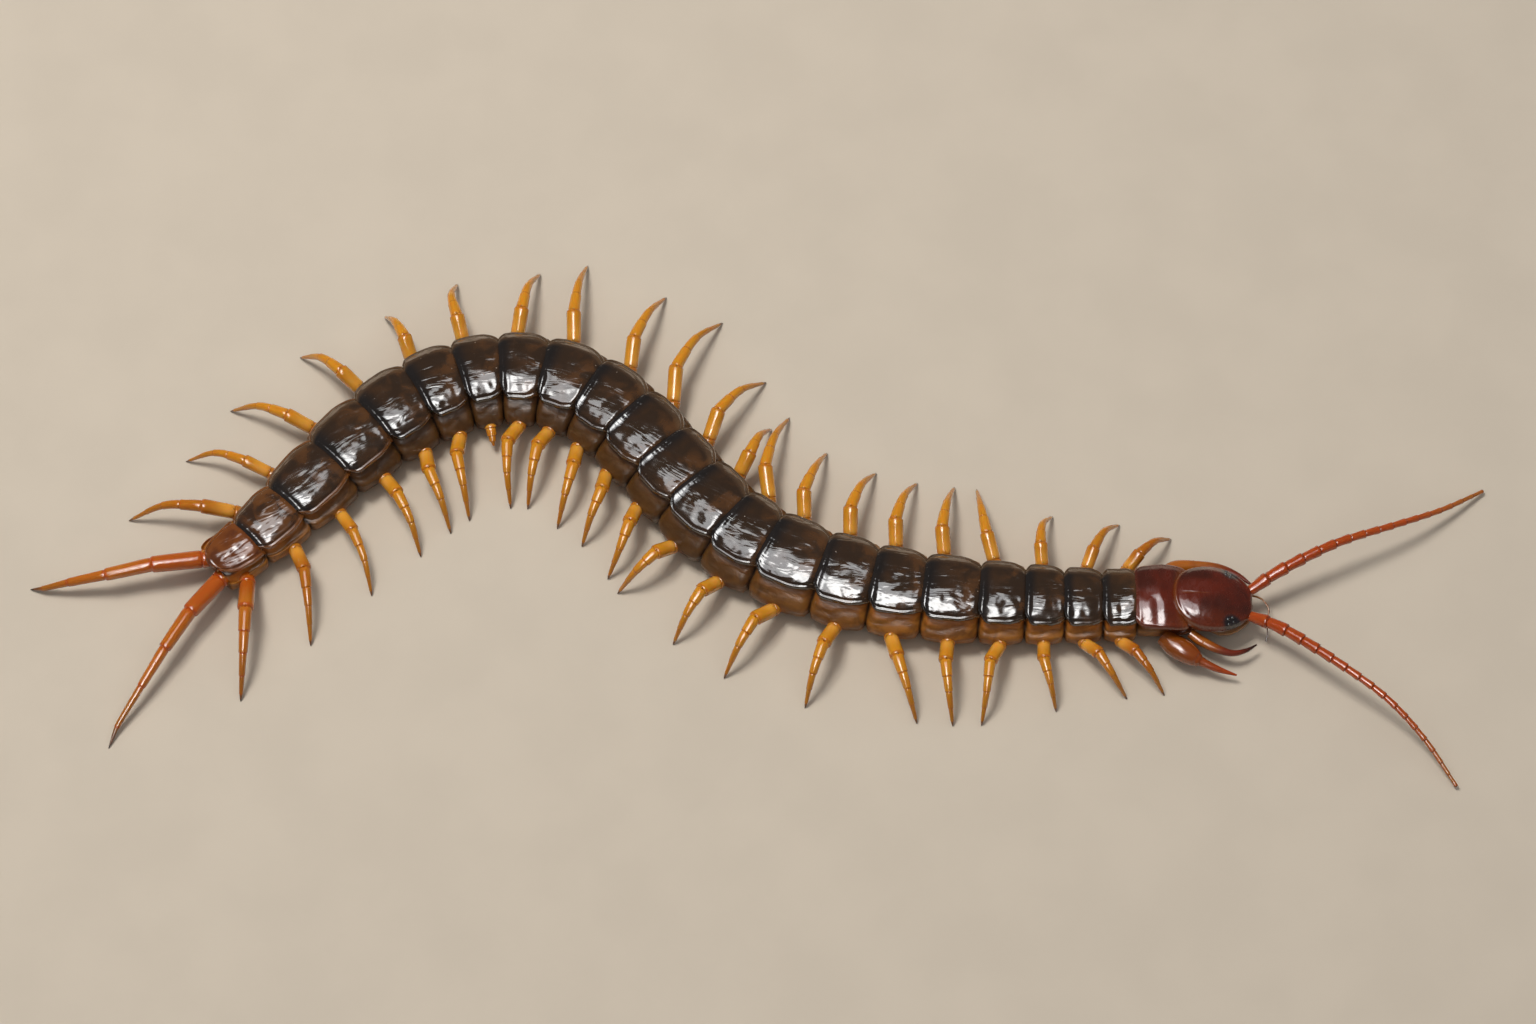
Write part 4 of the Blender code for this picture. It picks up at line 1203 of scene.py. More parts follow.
def skin_relief(number, t, side, height, shape):
    """How far folds and a leg's root push the flank out at a height, and the nearness of the root."""
    rim = rim_height(half_width(number, t))
    length = SEGMENTS[number - 1][0]
    wave = 0.25 * math.sin(2 * math.pi * t)
    wave += 0.15 * uneven(number + t, 4.0 * side, 0.0)
    upper, upper_share, upper_width = UPPER_FOLD
    lower, lower_share, lower_width = LOWER_FOLD
    seam_share, seam_width = SEAM_FOLD
    reach, rise = ROOT_REACH
    push = 0.0
    push -= upper_share * shape.fold * bump(height - (rim - upper + wave), upper_width)
    push -= lower_share * shape.fold * bump(height - (lower - wave), lower_width)
    push -= seam_share * shape.fold * bump(min(t, 1 - t) * length, seam_width)
    near_root = bump((t - attach_of(number, side)) * length, reach) * bump(height - HIP_HEIGHT, rise)
    push += ROOT_SWELL * near_root
    push += 0.5 * shape.fold * uneven(3.5 * t + number * 5.0, height * 1.6, side * 9.0)
    return push, near_root


def skin_half(number, t, side, shape):
    """Half cross-section of the skin with its relief, as rows.

    A row is the distance across, the height, the place along the section and the glow round a
    leg's root.
    """
    outline = skin_outline(number, t, side)
    upper, lower = FOLDED
    share = STUB_GLOW if number == STUB and side < 0 else 1.0
    rows = []
    for index, at in enumerate(outline):
        position = index / (len(outline) - 1)
        push, glow = 0.0, 0.0
        if upper < position < lower and number > 1:
            push, near_root = skin_relief(number, t, side, at.y, shape)
            push *= smooth((position - upper) / 0.1) * smooth((lower - position) / 0.12)
            glow = share * near_root
        rows.append((at.x + push, at.y, position, glow))
    return rows


def skin_ring(number, t, run, shape):
    """Ring of the skin at one station, far side first, with its marks and tones.

    Run is the distance from the neck; the tones fall below zero round the legs' roots.
    """
    point, tailward, far = station(number, t)
    shift = HEAD_OVERLAP * fade(t, 0.75, 1.5) if number == 1 else 0.0
    seam = abs(min(t, 1 - t)) * SEGMENTS[number - 1][0]
    ring, marks, tones = [], [], []
    for side in (1, -1):
        half = skin_half(number, t, side, shape)
        for y, z, position, glow in (half if side > 0 else half[-2:0:-1]):
            middle = max(0.0, 1 - (y / 4.0) ** 2) * smooth((z - 2.8) / 1.8)
            ring.append(raised(point + far * (side * y) + tailward * (shift * middle), z))
            marks.append((run, 1 - position, seam))
            tones.append(-glow)
    return ring, marks, tones


def head_skin_ring(ahead, count):
    """Ring of the head capsule under the shield, in step with the rings of the trunk."""
    point, tailward, far = station(1, 0.0)
    point = point - tailward * ahead
    rim, lower, bottom = (table(ahead, HEAD_LINES, column) for column in (1, 3, 4))
    profile = spline([Vector(corner) for corner in (
        (0.0, rim - 0.1),
        (lower * 0.9, rim - 0.25),
        (lower * 1.04, rim - 0.7),
        (lower * 1.06, lerp(bottom, rim, 0.5)),
        (lower * 0.9, bottom + 0.35),
        (lower * 0.5, bottom),
        (0.0, bottom),
    )], 12)
    last = count // 2
    half = []
    for i in range(last + 1):
        at = profile[round(i * (len(profile) - 1) / last)]
        half.append((at.x, at.y, i / last))
    ring, marks = [], []
    for side in (1, -1):
        for y, z, position in (half if side > 0 else half[-2:0:-1]):
            ring.append(raised(point + far * (side * y), z))
            marks.append((-ahead, 1 - position, CLEAR_OF_SEAMS))
    return ring, marks, [1.0] * len(ring)


def body_skin(shape, mat):
    """One seamless skin from the mouth to the tail: head capsule, flanks and belly."""
    shell = Shell()
    count = len(skin_ring(1, 0.0, 0.0, shape)[0])
    rings = [head_skin_ring(ahead, count) for ahead in HEAD_RINGS]
    run = 0.0
    for number in range(1, LAST + 1):
        neck = number == 1
        steps = NECK_STEPS if neck else SEGMENT_STEPS
        length = SEGMENTS[number - 1][0]
        for step in range(1 if neck else 0, steps):
            t = step / steps
            ring, marks, tones = skin_ring(number, t, run + t * length, shape)
            if neck:
                tones = [lerp(1.0, 0.0, smooth((t - 0.1) / 0.8))] * count
            rings.append((ring, marks, tones))
        run += length
    rings.append(skin_ring(LAST, SKIN_END, run, shape))
    shell.tube(*zip(*rings))
    nodes = [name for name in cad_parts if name.startswith("trunk")] + ["neck", "head"]
    shell.piece("body_skin", mat, nodes, 70.0)


def belly_plate(shell, number):
    """Flat plate under one segment, with two long grooves."""
    depth, groove_width = BELLY_GROOVE
    rows = []
    for r in range(BELLY_ROWS + 1):
        v = r / BELLY_ROWS
        point, _, far = station(number, 0.05 + 0.9 * v)
        half = min(flank(number, v, 1), flank(number, v, -1)) * BELLY_SHARE
        half *= 1 - 0.10 * abs(2 * v - 1) ** 3
        row = []
        for i in range(BELLY_COLUMNS + 1):
            u = 2 * i / BELLY_COLUMNS - 1
            groove = depth * bump(abs(u) * half - BELLY_GROOVE_PLACE * half, groove_width)
            z = BELLY_PLATE_HEIGHT + 0.12 * abs(u) ** 4 + 0.08 * abs(2 * v - 1) ** 4 + groove
            at = point + far * (u * half)
            mark = (*BELLY_MARK, (1 - abs(u)) * half)
            row.append((raised(at, z + BELLY_PLATE_THICKNESS), raised(at, z), mark, 0.0))
        rows.append(row)
    shell.slab(rows)


def breast(shell):
    """Broad plate under the head and neck that carries the poison claws."""
    rings = []
    point, tailward, far = station(1, 0.0)
    for ahead, half, low, high in BREAST_LINES:
        centre = point - tailward * ahead
        ring = []
        for i in range(BREAST_SIDES):
            angle = 2 * math.pi * i / BREAST_SIDES
            side = math.copysign(abs(math.cos(angle)) ** 0.7, math.cos(angle)) * half
            lift = math.copysign(abs(math.sin(angle)) ** 0.8, math.sin(angle)) * (high - low) / 2
            ring.append(raised(centre - far * side, (high + low) / 2 + lift))
        rings.append(ring)
    shell.tube(rings, [[BREAST_MARK] * BREAST_SIDES] * len(rings))


def breast_teeth():
    """Small blunt teeth on each side of the breast plate's front edge."""
    point, tailward, far = station(1, 0.0)
    behind, beside = TOOTH_STEP
    teeth = []
    for side in (-1, 1):
        for k in range(TEETH):
            ahead, sideways = TOOTH_AHEAD - behind * k, TOOTH_SIDEWAYS + beside * k
            root = raised(point - tailward * ahead + far * (side * sideways), TOOTH_HEIGHT)
            tooth = []
            for s in (0.0, 0.25, 0.5, 0.75, 1.0):
                radius = TOOTH_RADIUS * (1 - s) ** 0.6 + TOOTH_TIP
                tooth.append((root - tailward * (TOOTH_LENGTH * s), radius, (s, 0.5, 0.0), 0.0))
            teeth.append(tooth)
    return teeth


def rounded_path(points, shares, first):
    """Path through joints whose corners are rounded over a share of the lengths beside them.

    Gives (station, point) rows; a station is a whole number at each joint, first at the start.
    """
    rows = [(float(first), points[0])]
    for k, share in enumerate(shares, 1):
        before = points[k].lerp(points[k - 1], share)
        after = points[k].lerp(points[k + 1], share)
        for i in range(CORNER_STEPS + 1):
            t = i / CORNER_STEPS
            at = before.lerp(points[k], t).lerp(points[k].lerp(after, t), t)
            rows.append((first + k - share + 2 * share * t, at))
    rows.append((float(first + len(points) - 1), points[-1]))
    return rows


def limb(rows, articles, profile, size=1.0, tone=0.0):
    """Rings of a limb along (station, point) rows, article by article.

    A ring is its point, radius, mark and tone; the mark holds the share of the whole limb, the
    share of the article and the article's number.
    """
    rings = []
    first, last = articles[0][0], articles[-1][1]
    for index, (start, end, r0, r1) in enumerate(articles):
        for part, swell in profile:
            at = lerp(start, end, part)
            mark = ((at - first) / (last - first), part, float(index))
            rings.append((table(at, rows), lerp(r0, r1, part) * swell * size, mark, tone))
    return rings


def pointed(rows, start, end, r0, r1, size=1.0):
    """Rings of a claw that thins to its point."""
    rings = []
    for i in range(CLAW_STEPS + 1):
        s = i / CLAW_STEPS
        radius = lerp(r1, r0, (1 - s) ** CLAW_POWER) * size
        rings.append((table(lerp(start, end, s), rows), radius, (s, 0.5, 0.0), 0.0))
    return rings


def horn(rows, steps, span=(0.0, 1.0), cut=(0.0, 1.0), collar=0.0, size=1.0):
    """Rings of a curved limb through (x, y, z, radius) rows.

    Span gives its shades from root to tip, cut the stretch of the rows that it keeps, collar the
    height of the lip at its end and size its thickness.
    """
    path = spline([place(x, y, z) for x, y, z, _ in rows], steps)
    radii = spline([row[3] for row in rows], steps)
    first, last = (round(share * (len(path) - 1)) for share in cut)
    rings = []
    for i in range(first, last + 1):
        t = (i - first) / (last - first)
        lip = 1 + collar * ridge(t, HORN_LIP) - HORN_ROLL * ridge(t, HORN_END)
        rings.append((path[i], radii[i] * lip * size, (lerp(*span, t), t, 0.0), 0.0))
    return rings


def leg_root(number, side):
    """Where a walking leg leaves the flank."""
    attach = attach_of(number, side)
    point, _, far = station(number, attach)
    return raised(point + far * side * (flank(number, attach, side) + ROOT_OUT), HIP_HEIGHT)


def leg_joints(number, side, pose):
    """Inner end, root, knee, ankle and tip of a walking leg, and its size."""
    reach, *swings = pose
    attach = attach_of(number, side)
    _, tailward, far = station(number, attach)
    size = REAR_LEG_SIZE.get(number, min(1.0, half_width(number, attach) / FULL_LEG_WIDTH))
    outward = far * side
    root = leg_root(number, side)
    joints = [root - outward * ROOT_SINK, root]
    heights = (KNEE_HEIGHT * size, ANKLE_HEIGHT * size, TIP_HEIGHT)
    for share, swing, height in zip(REACH_SHARES, swings, heights):
        angle = math.radians(swing)
        step = outward * math.cos(angle) - tailward * math.sin(angle)
        joints.append(raised(joints[-1] + step * (reach * share), height))
    return joints, size


def walking_leg(number, side, pose, limbs, claws, beads, tone=0.0):
    """All articles of one leg, its claw, and the round bosses at its root and knee."""
    joints, size = leg_joints(number, side, pose)
    rows = rounded_path(joints, LEG_CORNERS, -1)
    limbs.append(limb(rows, ARTICLES, LEG_PROFILE, size, tone))
    claws.append(pointed(rows, *CLAW, size))
    for at, lift, radius in BOSSES:
        beads.append((table(at, rows) + UP * (lift * size), radius * size, BOSS_MARK, tone))


def stub_leg(limbs):
    """Short leg that is growing again."""
    _, _, far = station(STUB, NEAR_ATTACH)
    root = leg_root(STUB, -1)
    down = (-far - UP * STUB_DROOP).normalized()
    rows = [(-ROOT_SINK, root + far * STUB_SINK), (0.0, root), (STUB_LENGTH, root + down * STUB_LENGTH)]
    limbs.append(limb(rows, STUB_ARTICLES, LEG_PROFILE, 1.0, STUB_TONE))


def tail_leg(side, rows, limbs, claws, beads):
    """One long rear leg: its articles, its claw on the floor and the bosses over its root."""
    point, tailward, far = station(LAST, 1.0)
    root = raised(point + far * (side * TAIL_LEG_SPREAD), TAIL_LEG_HEIGHT)
    joints = [root - tailward * ROOT_SINK, root] + [place(*row) for row in rows]
    joints[-1].z = TIP_HEIGHT
    path = rounded_path(joints, TAIL_CORNERS, -1)
    limbs.append(limb(path, TAIL_ARTICLES, LEG_PROFILE, 1.0, TAIL_TONE))
    claws.append(pointed(path, *TAIL_CLAW))
    across, lift, radius = TAIL_BOSS
    for sideways in (-across, across):
        beads.append((root + far * sideways + UP * lift, radius, BOSS_MARK, 0.0))


def feeler(rows, articles):
    """Rings of one antenna, whose articles widen towards their far ends."""
    path = spline([place(*row) for row in rows], FEELER_STEPS)
    path = [path[0] + (path[0] - path[1]).normalized() * FEELER_SINK] + path
    run = [0.0]
    for a, b in zip(path, path[1:]):
        run.append(run[-1] + (b - a).length)
    rows = [(length / run[-1], at) for length, at in zip(run, path)]
    cuts = [(k / articles) ** FEELER_CROWDING for k in range(articles + 1)]
    spans = [(a, b, table(a, FEELER_RADII), table(b, FEELER_RADII)) for a, b in zip(cuts, cuts[1:])]
    return limb(rows, spans, FEELER_PROFILE)


def head_outline(angle):
    """Distance from the shield's middle to its edge; angle 0 points ahead."""
    ahead, sideways = math.cos(angle), math.sin(angle)
    reach, power = HEAD_FRONT if ahead > 0 else HEAD_REAR
    radius = (abs(ahead / reach) ** power + abs(sideways / HEAD_HALF) ** power) ** (-1 / power)
    return radius - (HEAD_NOTCH * bump(angle, 0.14) if ahead > 0 else 0.0)


def shield_height(ahead, y, rho):
    """Height of the head's shield; rho runs from 0 in its middle to 1 at its rim."""
    rim = table(ahead, HEAD_LINES, 1)
    end, run = HEAD_LIFT_LINE
    rim += HEAD_LIFT * smooth((end - ahead) / run) * max(0.0, 1 - (y / HEAD_HALF) ** 2)
    crown = max(rim + HEAD_CROWN_LEAST, table(ahead, HEAD_LINES, 2))
    return rim + (crown - rim) * (1 - rho ** HEAD_ARCH)


def shield_spot(rho, angle):
    """Upper and under point, mark and tone of a place of the head's shield."""
    point, tailward, far = station(1, 0.0)
    radius = head_outline(angle if angle <= math.pi else angle - 2 * math.pi)
    gap = (1 - rho) * radius
    ahead = HEAD_MIDDLE + rho * radius * math.cos(angle)
    y = -rho * radius * math.sin(angle)
    behind_front = smooth((ahead + 0.9) / 1.0)
    z = shield_height(ahead, y, rho)
    z -= roll(gap, SHIELD_ROLL)
    z += SHIELD_RIDGE * ridge(gap, SHIELD_BEAD) - SHIELD_RIDGE * ridge(gap, SHIELD_GROOVE)
    z -= MIDLINE_DEPTH * bump(y, 0.07) * behind_front * smooth((3.6 - ahead) / 1.5)
    inner = smooth((gap - 0.4) / 0.8)
    z += inner * SHIELD_SWELL * uneven(ahead * 0.6, y * 0.6, 7.0)
    z += inner * SHIELD_RIPPLE * uneven(ahead * 2.2, y * 1.8, 3.0)
    at = raised(point - tailward * ahead + far * y, z)
    inward = tailward * math.cos(angle) + far * math.sin(angle)
    under = at + inward * SHIELD_INSET - UP * SHIELD_THICKNESS
    (eye_ahead, reach), (eye_sideways, breadth) = EYE_PATCH_LINES
    eye = bump(ahead - eye_ahead, reach) * bump(abs(y) - eye_sideways, breadth)
    rear = bump(gap, 0.4) * smooth((-math.cos(angle) - 0.1) / 0.5)
    line = 0.8 * bump(y, 0.06) * behind_front * smooth((3.4 - ahead) / 1.0)
    return at, under, (ahead / 8.0, y / HEAD_HALF, gap), eye - rear - line


def head_shield(mat):
    """The head's oval shield, its rim rolled over and a short pale line down the middle."""
    shell = Shell()
    sides, last = SHIELD_SIDES, SHIELD_RINGS
    rows = []
    for r in range(last + 1):
        rho = math.sin(math.pi / 2 * r / last) if r else SHIELD_MIDDLE
        rows.append([shield_spot(rho, 2 * math.pi * i / sides) for i in range(sides)])
    top, bottom, marks, tones = layers(rows)
    first = shell.grid(top, marks, tones, round_trip=True)
    second = shell.grid(bottom, marks, round_trip=True, flip=True)
    a, b = first + last * sides, second + last * sides
    for i in range(sides):
        j = (i + 1) % sides
        shell.faces.append((a + i, a + j, b + j, b + i))
    shell.faces.append(tuple(first + i for i in range(sides))[::-1])
    shell.faces.append(tuple(second + i for i in range(sides)))
    shell.piece("head_shield", mat)


def neck_plate(shape, mat):
    """The first back plate, red, its front edge following the head's rounded rear."""
    shell = Shell()
    length = SEGMENTS[0][0]
    clear, clear_span = NECK_CLEAR_FRONT
    rows = []
    for r in range(PLATE_ROWS):
        v = crowded(r, PLATE_ROWS)
        t = NECK_START + NECK_SPAN * v
        point, tailward, far = station(1, t)
        width = half_width(1, max(0.0, min(t, 1.0)))
        rim = rim_height(width)
        arch = ARCH_PER_WIDTH * width
        share = 1 - 0.10 * fade(v, 0.3) - 0.18 * past(v, 0.80, 0.20, 2.2)
        rear = (1 - v) * length
        row = []
        for i in range(PLATE_COLUMNS):
            u = spread(i, PLATE_COLUMNS)
            y = u * share * width
            gap = (1 - abs(u)) * share * width
            z = rim + arch - arch * plate_fall(y / width)
            z -= NECK_SLOPE * fade(v, 0.5, 1.5)
            z -= shape.rear_dip * fade(rear, REAR_DIP_WIDTH)
            z -= roll(gap, NECK_ROLL)
            z += NECK_BEAD_HEIGHT * ridge(gap, SHIELD_BEAD) + NECK_MARGIN_HEIGHT * ridge(rear, NECK_MARGIN)
            z -= NECK_HOLLOW * bump(v - 0.56, 0.11) * smooth((0.5 - abs(u + 0.55)) / 0.3)
            inner = smooth((min(gap, rear) - 0.4) / 0.8)
            z += inner * NECK_SWELL * uneven(v * 3.0, y * 0.7, 11.0)
            shift = (1 - v) ** 1.6 * max(0.0, 1 - (y / HEAD_REAR_WIDTH) ** 2)
            at = raised(point + far * y + tailward * shift, z)
            drop = NECK_THICKNESS if gap < PLATE_EDGE else NECK_INNER_THICKNESS
            under = at - far * (UNDER_INSET * u) - UP * drop
            row.append((at, under, (v, u, min(gap, rear)), -clear * bump(v, clear_span)))
        rows.append(row)
    shell.slab(rows)
    shell.piece("neck_plate", mat)


def eye_beads():
    """Four round beads on each side of the shield: place, radius, mark and tone."""
    point, tailward, far = station(1, 0.0)
    reach, power = HEAD_FRONT
    beads = []
    for side in (-1, 1):
        for ahead, sideways, radius in EYES:
            rho = (((ahead - HEAD_MIDDLE) / reach) ** power + (sideways / HEAD_HALF) ** power) ** (1 / power)
            z = shield_height(ahead, sideways, rho) - EYE_SINK
            at = raised(point - tailward * ahead + far * (side * sideways), z)
            beads.append((at, radius, (0.5, 0.5, 0.0), 0.0))
    return beads


def new_tree(name, numbers):
    """Empty geometry tree with a geometry going in and out, and named number inputs."""
    tree = bpy.data.node_groups.new(name, "GeometryNodeTree")
    tree.interface.new_socket("Geometry", in_out="INPUT", socket_type="NodeSocketGeometry")
    for label, kind in numbers.items():
        tree.interface.new_socket(label, in_out="INPUT", socket_type=kind)
    tree.interface.new_socket("Geometry", in_out="OUTPUT", socket_type="NodeSocketGeometry")
    return tree, put(tree, "NodeGroupInput").outputs


def end_tree(tree, geometry, mat):
    """Realize the result, give it its material and send it out."""
    real = put(tree, "GeometryNodeRealizeInstances", {"Geometry": geometry})
    coloured = put(tree, "GeometryNodeSetMaterial", {"Geometry": real.outputs[0], "Material": mat})
    put(tree, "NodeGroupOutput", {0: coloured.outputs[0]})
    return tree


def stored_size(tree, given):
    """Radius kept at each point, times the tree's thickness."""
    size = put(tree, "GeometryNodeInputNamedAttribute", {"Name": "size"}, data_type="FLOAT").outputs[0]
    return sums(tree, "MULTIPLY", size, given["Thickness"])


def limb_tree(mat):
    """Geometry nodes: a round limb along each line of a mesh, as thick as its points say."""
    tree, given = new_tree("limbs_on_lines", {"Sides": "NodeSocketInt", "Thickness": "NodeSocketFloat"})
    curves = put(tree, "GeometryNodeMeshToCurve", {"Mesh": given["Geometry"]})
    size = stored_size(tree, given)
    sized = put(tree, "GeometryNodeSetCurveRadius", {"Curve": curves.outputs[0], "Radius": size})
    circle = put(tree, "GeometryNodeCurvePrimitiveCircle", {"Resolution": given["Sides"], "Radius": 1.0})
    inputs = {"Curve": sized.outputs[0], "Profile Curve": circle.outputs[0], "Fill Caps": True}
    skin = put(tree, "GeometryNodeCurveToMesh", inputs)
    if "Scale" in skin.inputs:
        tree.links.new(put(tree, "GeometryNodeInputRadius").outputs[0], skin.inputs["Scale"])
    return end_tree(tree, skin.outputs[0], mat)


def bead_tree(mat):
    """Geometry nodes: a round bead on each point of a mesh, as large as the point says."""
    tree, given = new_tree("beads_on_points", {"Roundness": "NodeSocketInt", "Thickness": "NodeSocketFloat"})
    ball = put(tree, "GeometryNodeMeshIcoSphere", {"Radius": 1.0, "Subdivisions": given["Roundness"]})
    inputs = {"Points": given["Geometry"], "Instance": ball.outputs[0], "Scale": stored_size(tree, given)}
    return end_tree(tree, put(tree, "GeometryNodeInstanceOnPoints", inputs).outputs[0], mat)


def lines(name, chains):
    """Object of points joined in chains, with the size, place and tone of each point."""
    rings = [ring for chain in chains for ring in chain]
    edges, first = [], 0
    for chain in chains:
        edges += [(first + i, first + i + 1) for i in range(len(chain) - 1)]
        first += len(chain)
    mesh = bpy.data.meshes.new(name + "_lines")
    mesh.from_pydata([ring[0] * MM for ring in rings], edges, [])
    store(mesh, "size", [ring[1] * MM for ring in rings])
    store(mesh, "place", [ring[2] for ring in rings])
    store(mesh, "tone", [float(ring[3]) for ring in rings])
    return shown(name + "_lines", mesh)


def baked(name, chains, tree, values):
    """Run a tree over chains of points and keep the result as a plain mesh object."""
    obj = lines(name, chains)
    modifier = obj.modifiers.new("nodes", "NODES")
    modifier.node_group = tree
    for item in tree.interface.items_tree:
        if item.in_out == "INPUT" and item.name in values:
            modifier[item.identifier] = values[item.name]
    bpy.context.view_layer.update()
    mesh = bpy.data.meshes.new_from_object(obj.evaluated_get(bpy.context.evaluated_depsgraph_get()))
    mesh.name = name
    source = obj.data
    bpy.data.objects.remove(obj, do_unlink=True)
    bpy.data.meshes.remove(source)
    return shown(name, mesh)


def limb_piece(context, name, chains, mat, nodes=()):
    """Piece of limbs along chains of points."""
    values = {"Sides": context.scene.centipede_shape.limb_sides, "Thickness": 1.0}
    settle(baked(name, chains, limb_tree(mat), values), nodes)


def bead_piece(name, beads, mat, roundness=3):
    """Piece of round beads on single points."""
    values = {"Roundness": roundness, "Thickness": 1.0}
    settle(baked(name, [[bead] for bead in beads], bead_tree(mat), values))


def finishes(c):
    """Every material of the animal, made once."""
    if "dark_shell" not in bpy.data.materials:
        dark_shell(c)
        maroon_shell(c)
        flank_skin(c)
        eye_glass(c)
        limb_finish("leg_shell", 0.11, c.amber, *LEG_SHADES, LEG_SUNK)
        limb_finish("red_limb", 0.10, c.red, *FEELER_SHADES)
        limb_finish("rear_limb", 0.11, *REAR_LEG_SHADES)
        for name, shades in HORN_SHADES.items():
            horn_finish(name, *shades)
    return bpy.data.materials


class CENTIPEDE_OT_skin(bpy.types.Operator):
    """Make the seamless skin and the belly plates"""
    bl_idname = "centipede.skin"
    bl_label = "Skin and belly"

    def execute(self, context):
        mats = finishes(context.scene.centipede_colours)
        body_skin(context.scene.centipede_shape, mats["flank_skin"])
        belly = Shell()
        for number in range(2, LAST + 1):
            belly_plate(belly, number)
        breast(belly)
        belly.piece("belly_plates", mats["bulb_horn"], sharp=45.0)
        limb_piece(context, "breast_teeth", breast_teeth(), mats["claw_horn"])
        return {"FINISHED"}


class CENTIPEDE_OT_back(bpy.types.Operator):
    """Make the back plates"""
    bl_idname = "centipede.back"
    bl_label = "Back plates"

    def execute(self, context):
        mats = finishes(context.scene.centipede_colours)
        for first, last in PLATE_GROUPS:
            shell = Shell()
            for number in range(first, last + 1):
                back_plate(shell, number, context.scene.centipede_shape, PLATE_TONES.get(number, 0.0))
            shell.piece(f"back_plates_{first}_to_{last}", mats["dark_shell"])
        return {"FINISHED"}


class CENTIPEDE_OT_head(bpy.types.Operator):
    """Make the head shield, the first plate and the eyes"""
    bl_idname = "centipede.head"
    bl_label = "Head"

    def execute(self, context):
        mats = finishes(context.scene.centipede_colours)
        head_shield(mats["maroon_shell"])
        neck_plate(context.scene.centipede_shape, mats["maroon_shell"])
        bead_piece("eyes", eye_beads(), mats["eye_glass"])
        return {"FINISHED"}


class CENTIPEDE_OT_mouth(bpy.types.Operator):
    """Make the poison claws, the palps and the jaw lobes"""
    bl_idname = "centipede.mouth"
    bl_label = "Poison claws and palps"

    def execute(self, context):
        mats = finishes(context.scene.centipede_colours)
        for node, finish, rows, *articles in HOOKS:
            chains = [horn(rows, HORN_STEPS, *article) for article in articles]
            limb_piece(context, f"{node}_shell", chains, mats[finish], [node])
        lobes = []
        for side in (1, -1):
            rows = [(x, NECK[1] + side * y, z, radius) for x, y, z, radius in JAW_LOBE]
            lobes.append(horn(rows, LOBE_STEPS, LOBE_SPAN))
        lobes.append(horn(MOUTH_PALP, HORN_STEPS, MOUTH_PALP_SPAN))
        limb_piece(context, "mouth_parts", lobes, mats["mouth_horn"])
        return {"FINISHED"}


class CENTIPEDE_OT_antennae(bpy.types.Operator):
    """Make both antennae"""
    bl_idname = "centipede.antennae"
    bl_label = "Antennae"

    def execute(self, context):
        mats = finishes(context.scene.centipede_colours)
        articles = context.scene.centipede_shape.feeler_articles
        for node, rows in (("antenna_near", NEAR_FEELER), ("antenna_far", FAR_FEELER)):
            chains = [feeler(rows, articles)]
            limb_piece(context, f"{node}_shell", chains, mats["red_limb"], [node])
        return {"FINISHED"}


class CENTIPEDE_OT_legs(bpy.types.Operator):
    """Make the walking legs, the long rear legs and their claws"""
    bl_idname = "centipede.legs"
    bl_label = "Legs"

    def execute(self, context):
        mats = finishes(context.scene.centipede_colours)
        claws, beads, rear_beads = [], [], []
        for label, side, rows in (("near", -1, NEAR_LEGS), ("far", 1, FAR_LEGS)):
            limbs, nodes = [], []
            for number, pose in rows.items():
                if number < LAST:
                    walking_leg(number, side, pose, limbs, claws, beads, LEG_TONES.get(number, 0.0))
                    nodes.append(f"leg_{label}_{number:02d}")
            if side < 0:
                stub_leg(limbs)
                nodes.append(f"leg_near_{STUB}")
            limb_piece(context, f"legs_{label}", limbs, mats["leg_shell"], nodes)
        rear = []
        walking_leg(LAST, -1, NEAR_LEGS[LAST], rear, claws, rear_beads)
        tail_leg(-1, NEAR_TAIL_LEG, rear, claws, rear_beads)
        tail_leg(1, FAR_TAIL_LEG, rear, claws, rear_beads)
        nodes = [f"leg_near_{LAST}", "tail_leg_near", "tail_leg_far"]
        limb_piece(context, "rear_legs", rear, mats["rear_limb"], nodes)
        limb_piece(context, "claws", claws, mats["claw_horn"])
        bead_piece("leg_bosses", beads, mats["leg_shell"], 2)
        bead_piece("rear_bosses", rear_beads, mats["leg_shell"], 2)
        return {"FINISHED"}


class CENTIPEDE_OT_stage(bpy.types.Operator):
    """Make the floor, the lights and the camera"""
    bl_idname = "centipede.stage"
    bl_label = "Stage"

    def execute(self, context):
        stage = context.scene.centipede_stage
        target = place(0.0, 0.0, 0.0) * MM
        pale_floor(stage)
        for name, (away, aim, size, tint, panel) in LAMPS.items():
            area_light(name, target + Vector(away), Vector(aim), size, getattr(stage, name), tint, panel)
        context.scene.world = studio(stage)
        context.scene.camera = camera(stage, target)
        context.scene.view_settings.view_transform = "Standard"
        return {"FINISHED"}


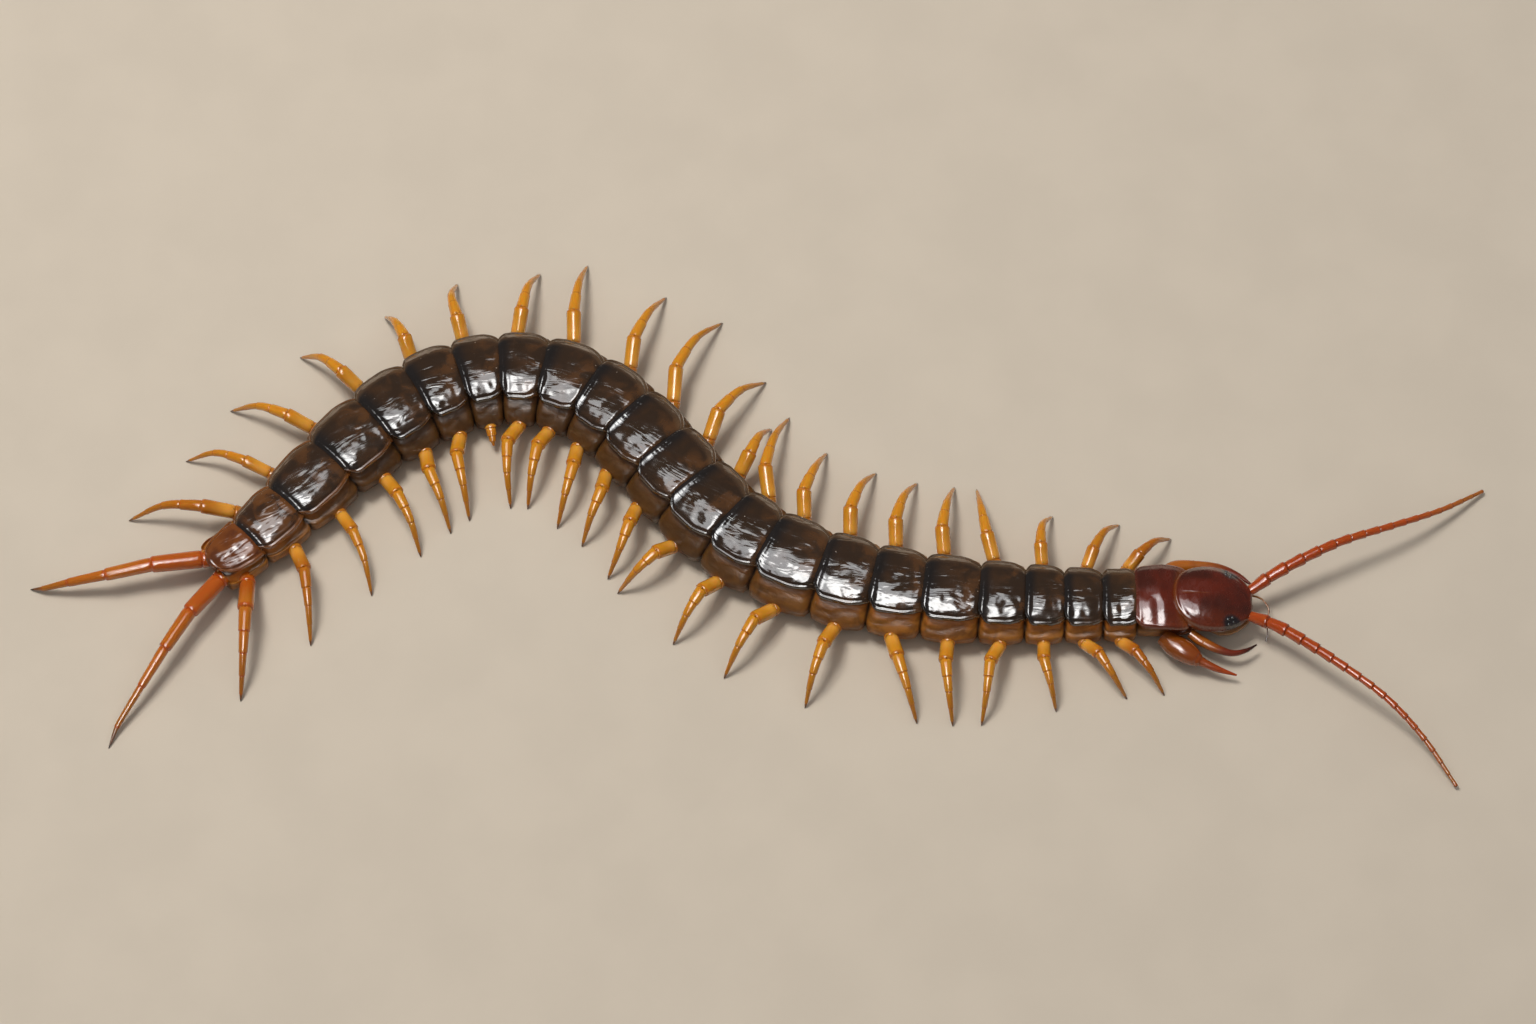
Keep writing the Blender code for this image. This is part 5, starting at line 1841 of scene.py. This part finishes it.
def pale_floor(stage):
    """Plain matt floor with a barely uneven shade."""
    floor = bpy.data.materials.new("pale_floor")
    floor.use_nodes = True
    tree = floor.node_tree
    where = put(tree, "ShaderNodeTexCoord").outputs["Object"]
    shade = grain(tree, where, 90.0, 4.0)
    base = mix(tree, between(tree, shade, 0.3, 0.7), [x * 0.96 for x in stage.floor], stage.floor)
    shader = tree.nodes["Principled BSDF"]
    shader.inputs["Roughness"].default_value = 1.0
    shader.inputs["Specular IOR Level"].default_value = 0.0
    tree.links.new(base, shader.inputs["Base Color"])
    mesh = bpy.data.meshes.new("floor")
    corners = [(-FLOOR_HALF, -FLOOR_HALF, 0), (FLOOR_HALF, -FLOOR_HALF, 0),
               (FLOOR_HALF, FLOOR_HALF, 0), (-FLOOR_HALF, FLOOR_HALF, 0)]
    mesh.from_pydata(corners, [], [(0, 1, 2, 3)])
    mesh.materials.append(floor)
    shown("floor", mesh)


def area_light(name, at, aim, size, power, tint, panel):
    """Rectangular soft light that shines along a direction, not seen by the camera.

    A panel is seen in the gloss only, and any other light not there.
    """
    data = bpy.data.lights.new(name, "AREA")
    data.shape = "RECTANGLE"
    data.size, data.size_y = size
    data.energy = power
    data.color = tint
    light = shown(name, data)
    light.location = at
    light.rotation_euler = aim.to_track_quat("-Z", "Y").to_euler()
    light.visible_camera = False
    light.visible_glossy = panel
    light.visible_diffuse = not panel


def studio(stage):
    """Even, faintly blue light from all round."""
    world = bpy.data.worlds.new("studio")
    world.use_nodes = True
    background = world.node_tree.nodes["Background"].inputs
    background["Color"].default_value = SKY_TINT
    background["Strength"].default_value = stage.sky
    return world


def camera(stage, target):
    """Camera that looks at the target from the near side, as far off as the view width asks."""
    data = bpy.data.cameras.new("camera")
    data.lens = stage.lens
    data.sensor_width = SENSOR_WIDTH
    data.clip_start = CLIP_START
    view = shown("camera", data)
    distance = stage.view_width * data.lens / data.sensor_width
    rise = stage.elevation
    view.location = target + Vector((0.0, -math.cos(rise), math.sin(rise))) * distance
    view.rotation_euler = (math.pi / 2 - rise, 0.0, 0.0)
    return view


class CENTIPEDE_PT_panel(bpy.types.Panel):
    """Lists the steps that make the animal"""
    bl_idname = "CENTIPEDE_PT_panel"
    bl_label = "Centipede"
    bl_space_type = "VIEW_3D"
    bl_region_type = "UI"
    bl_category = "Centipede"

    def draw(self, context):
        for step in STEPS:
            self.layout.operator(step.bl_idname)
        scene = context.scene
        for group in (scene.centipede_shape, scene.centipede_colours, scene.centipede_stage):
            box = self.layout.box()
            for name in group.__annotations__:
                box.prop(group, name)


GROUPS = (CentipedeShape, CentipedeColours, CentipedeStage)
STEPS = (
    CENTIPEDE_OT_stage,
    CENTIPEDE_OT_skin,
    CENTIPEDE_OT_back,
    CENTIPEDE_OT_head,
    CENTIPEDE_OT_mouth,
    CENTIPEDE_OT_antennae,
    CENTIPEDE_OT_legs,
)


def register():
    for item in (*GROUPS, *STEPS, CENTIPEDE_PT_panel):
        bpy.utils.register_class(item)
    bpy.types.Scene.centipede_shape = bpy.props.PointerProperty(type=CentipedeShape)
    bpy.types.Scene.centipede_colours = bpy.props.PointerProperty(type=CentipedeColours)
    bpy.types.Scene.centipede_stage = bpy.props.PointerProperty(type=CentipedeStage)


def unregister():
    del bpy.types.Scene.centipede_stage
    del bpy.types.Scene.centipede_colours
    del bpy.types.Scene.centipede_shape
    for item in (CENTIPEDE_PT_panel, *reversed(STEPS), *reversed(GROUPS)):
        bpy.utils.unregister_class(item)


def main():
    """Run every step."""
    register()
    for step in STEPS:
        area, name = step.bl_idname.split(".")
        getattr(getattr(bpy.ops, area), name)()


if __name__ == "__main__":
    main()
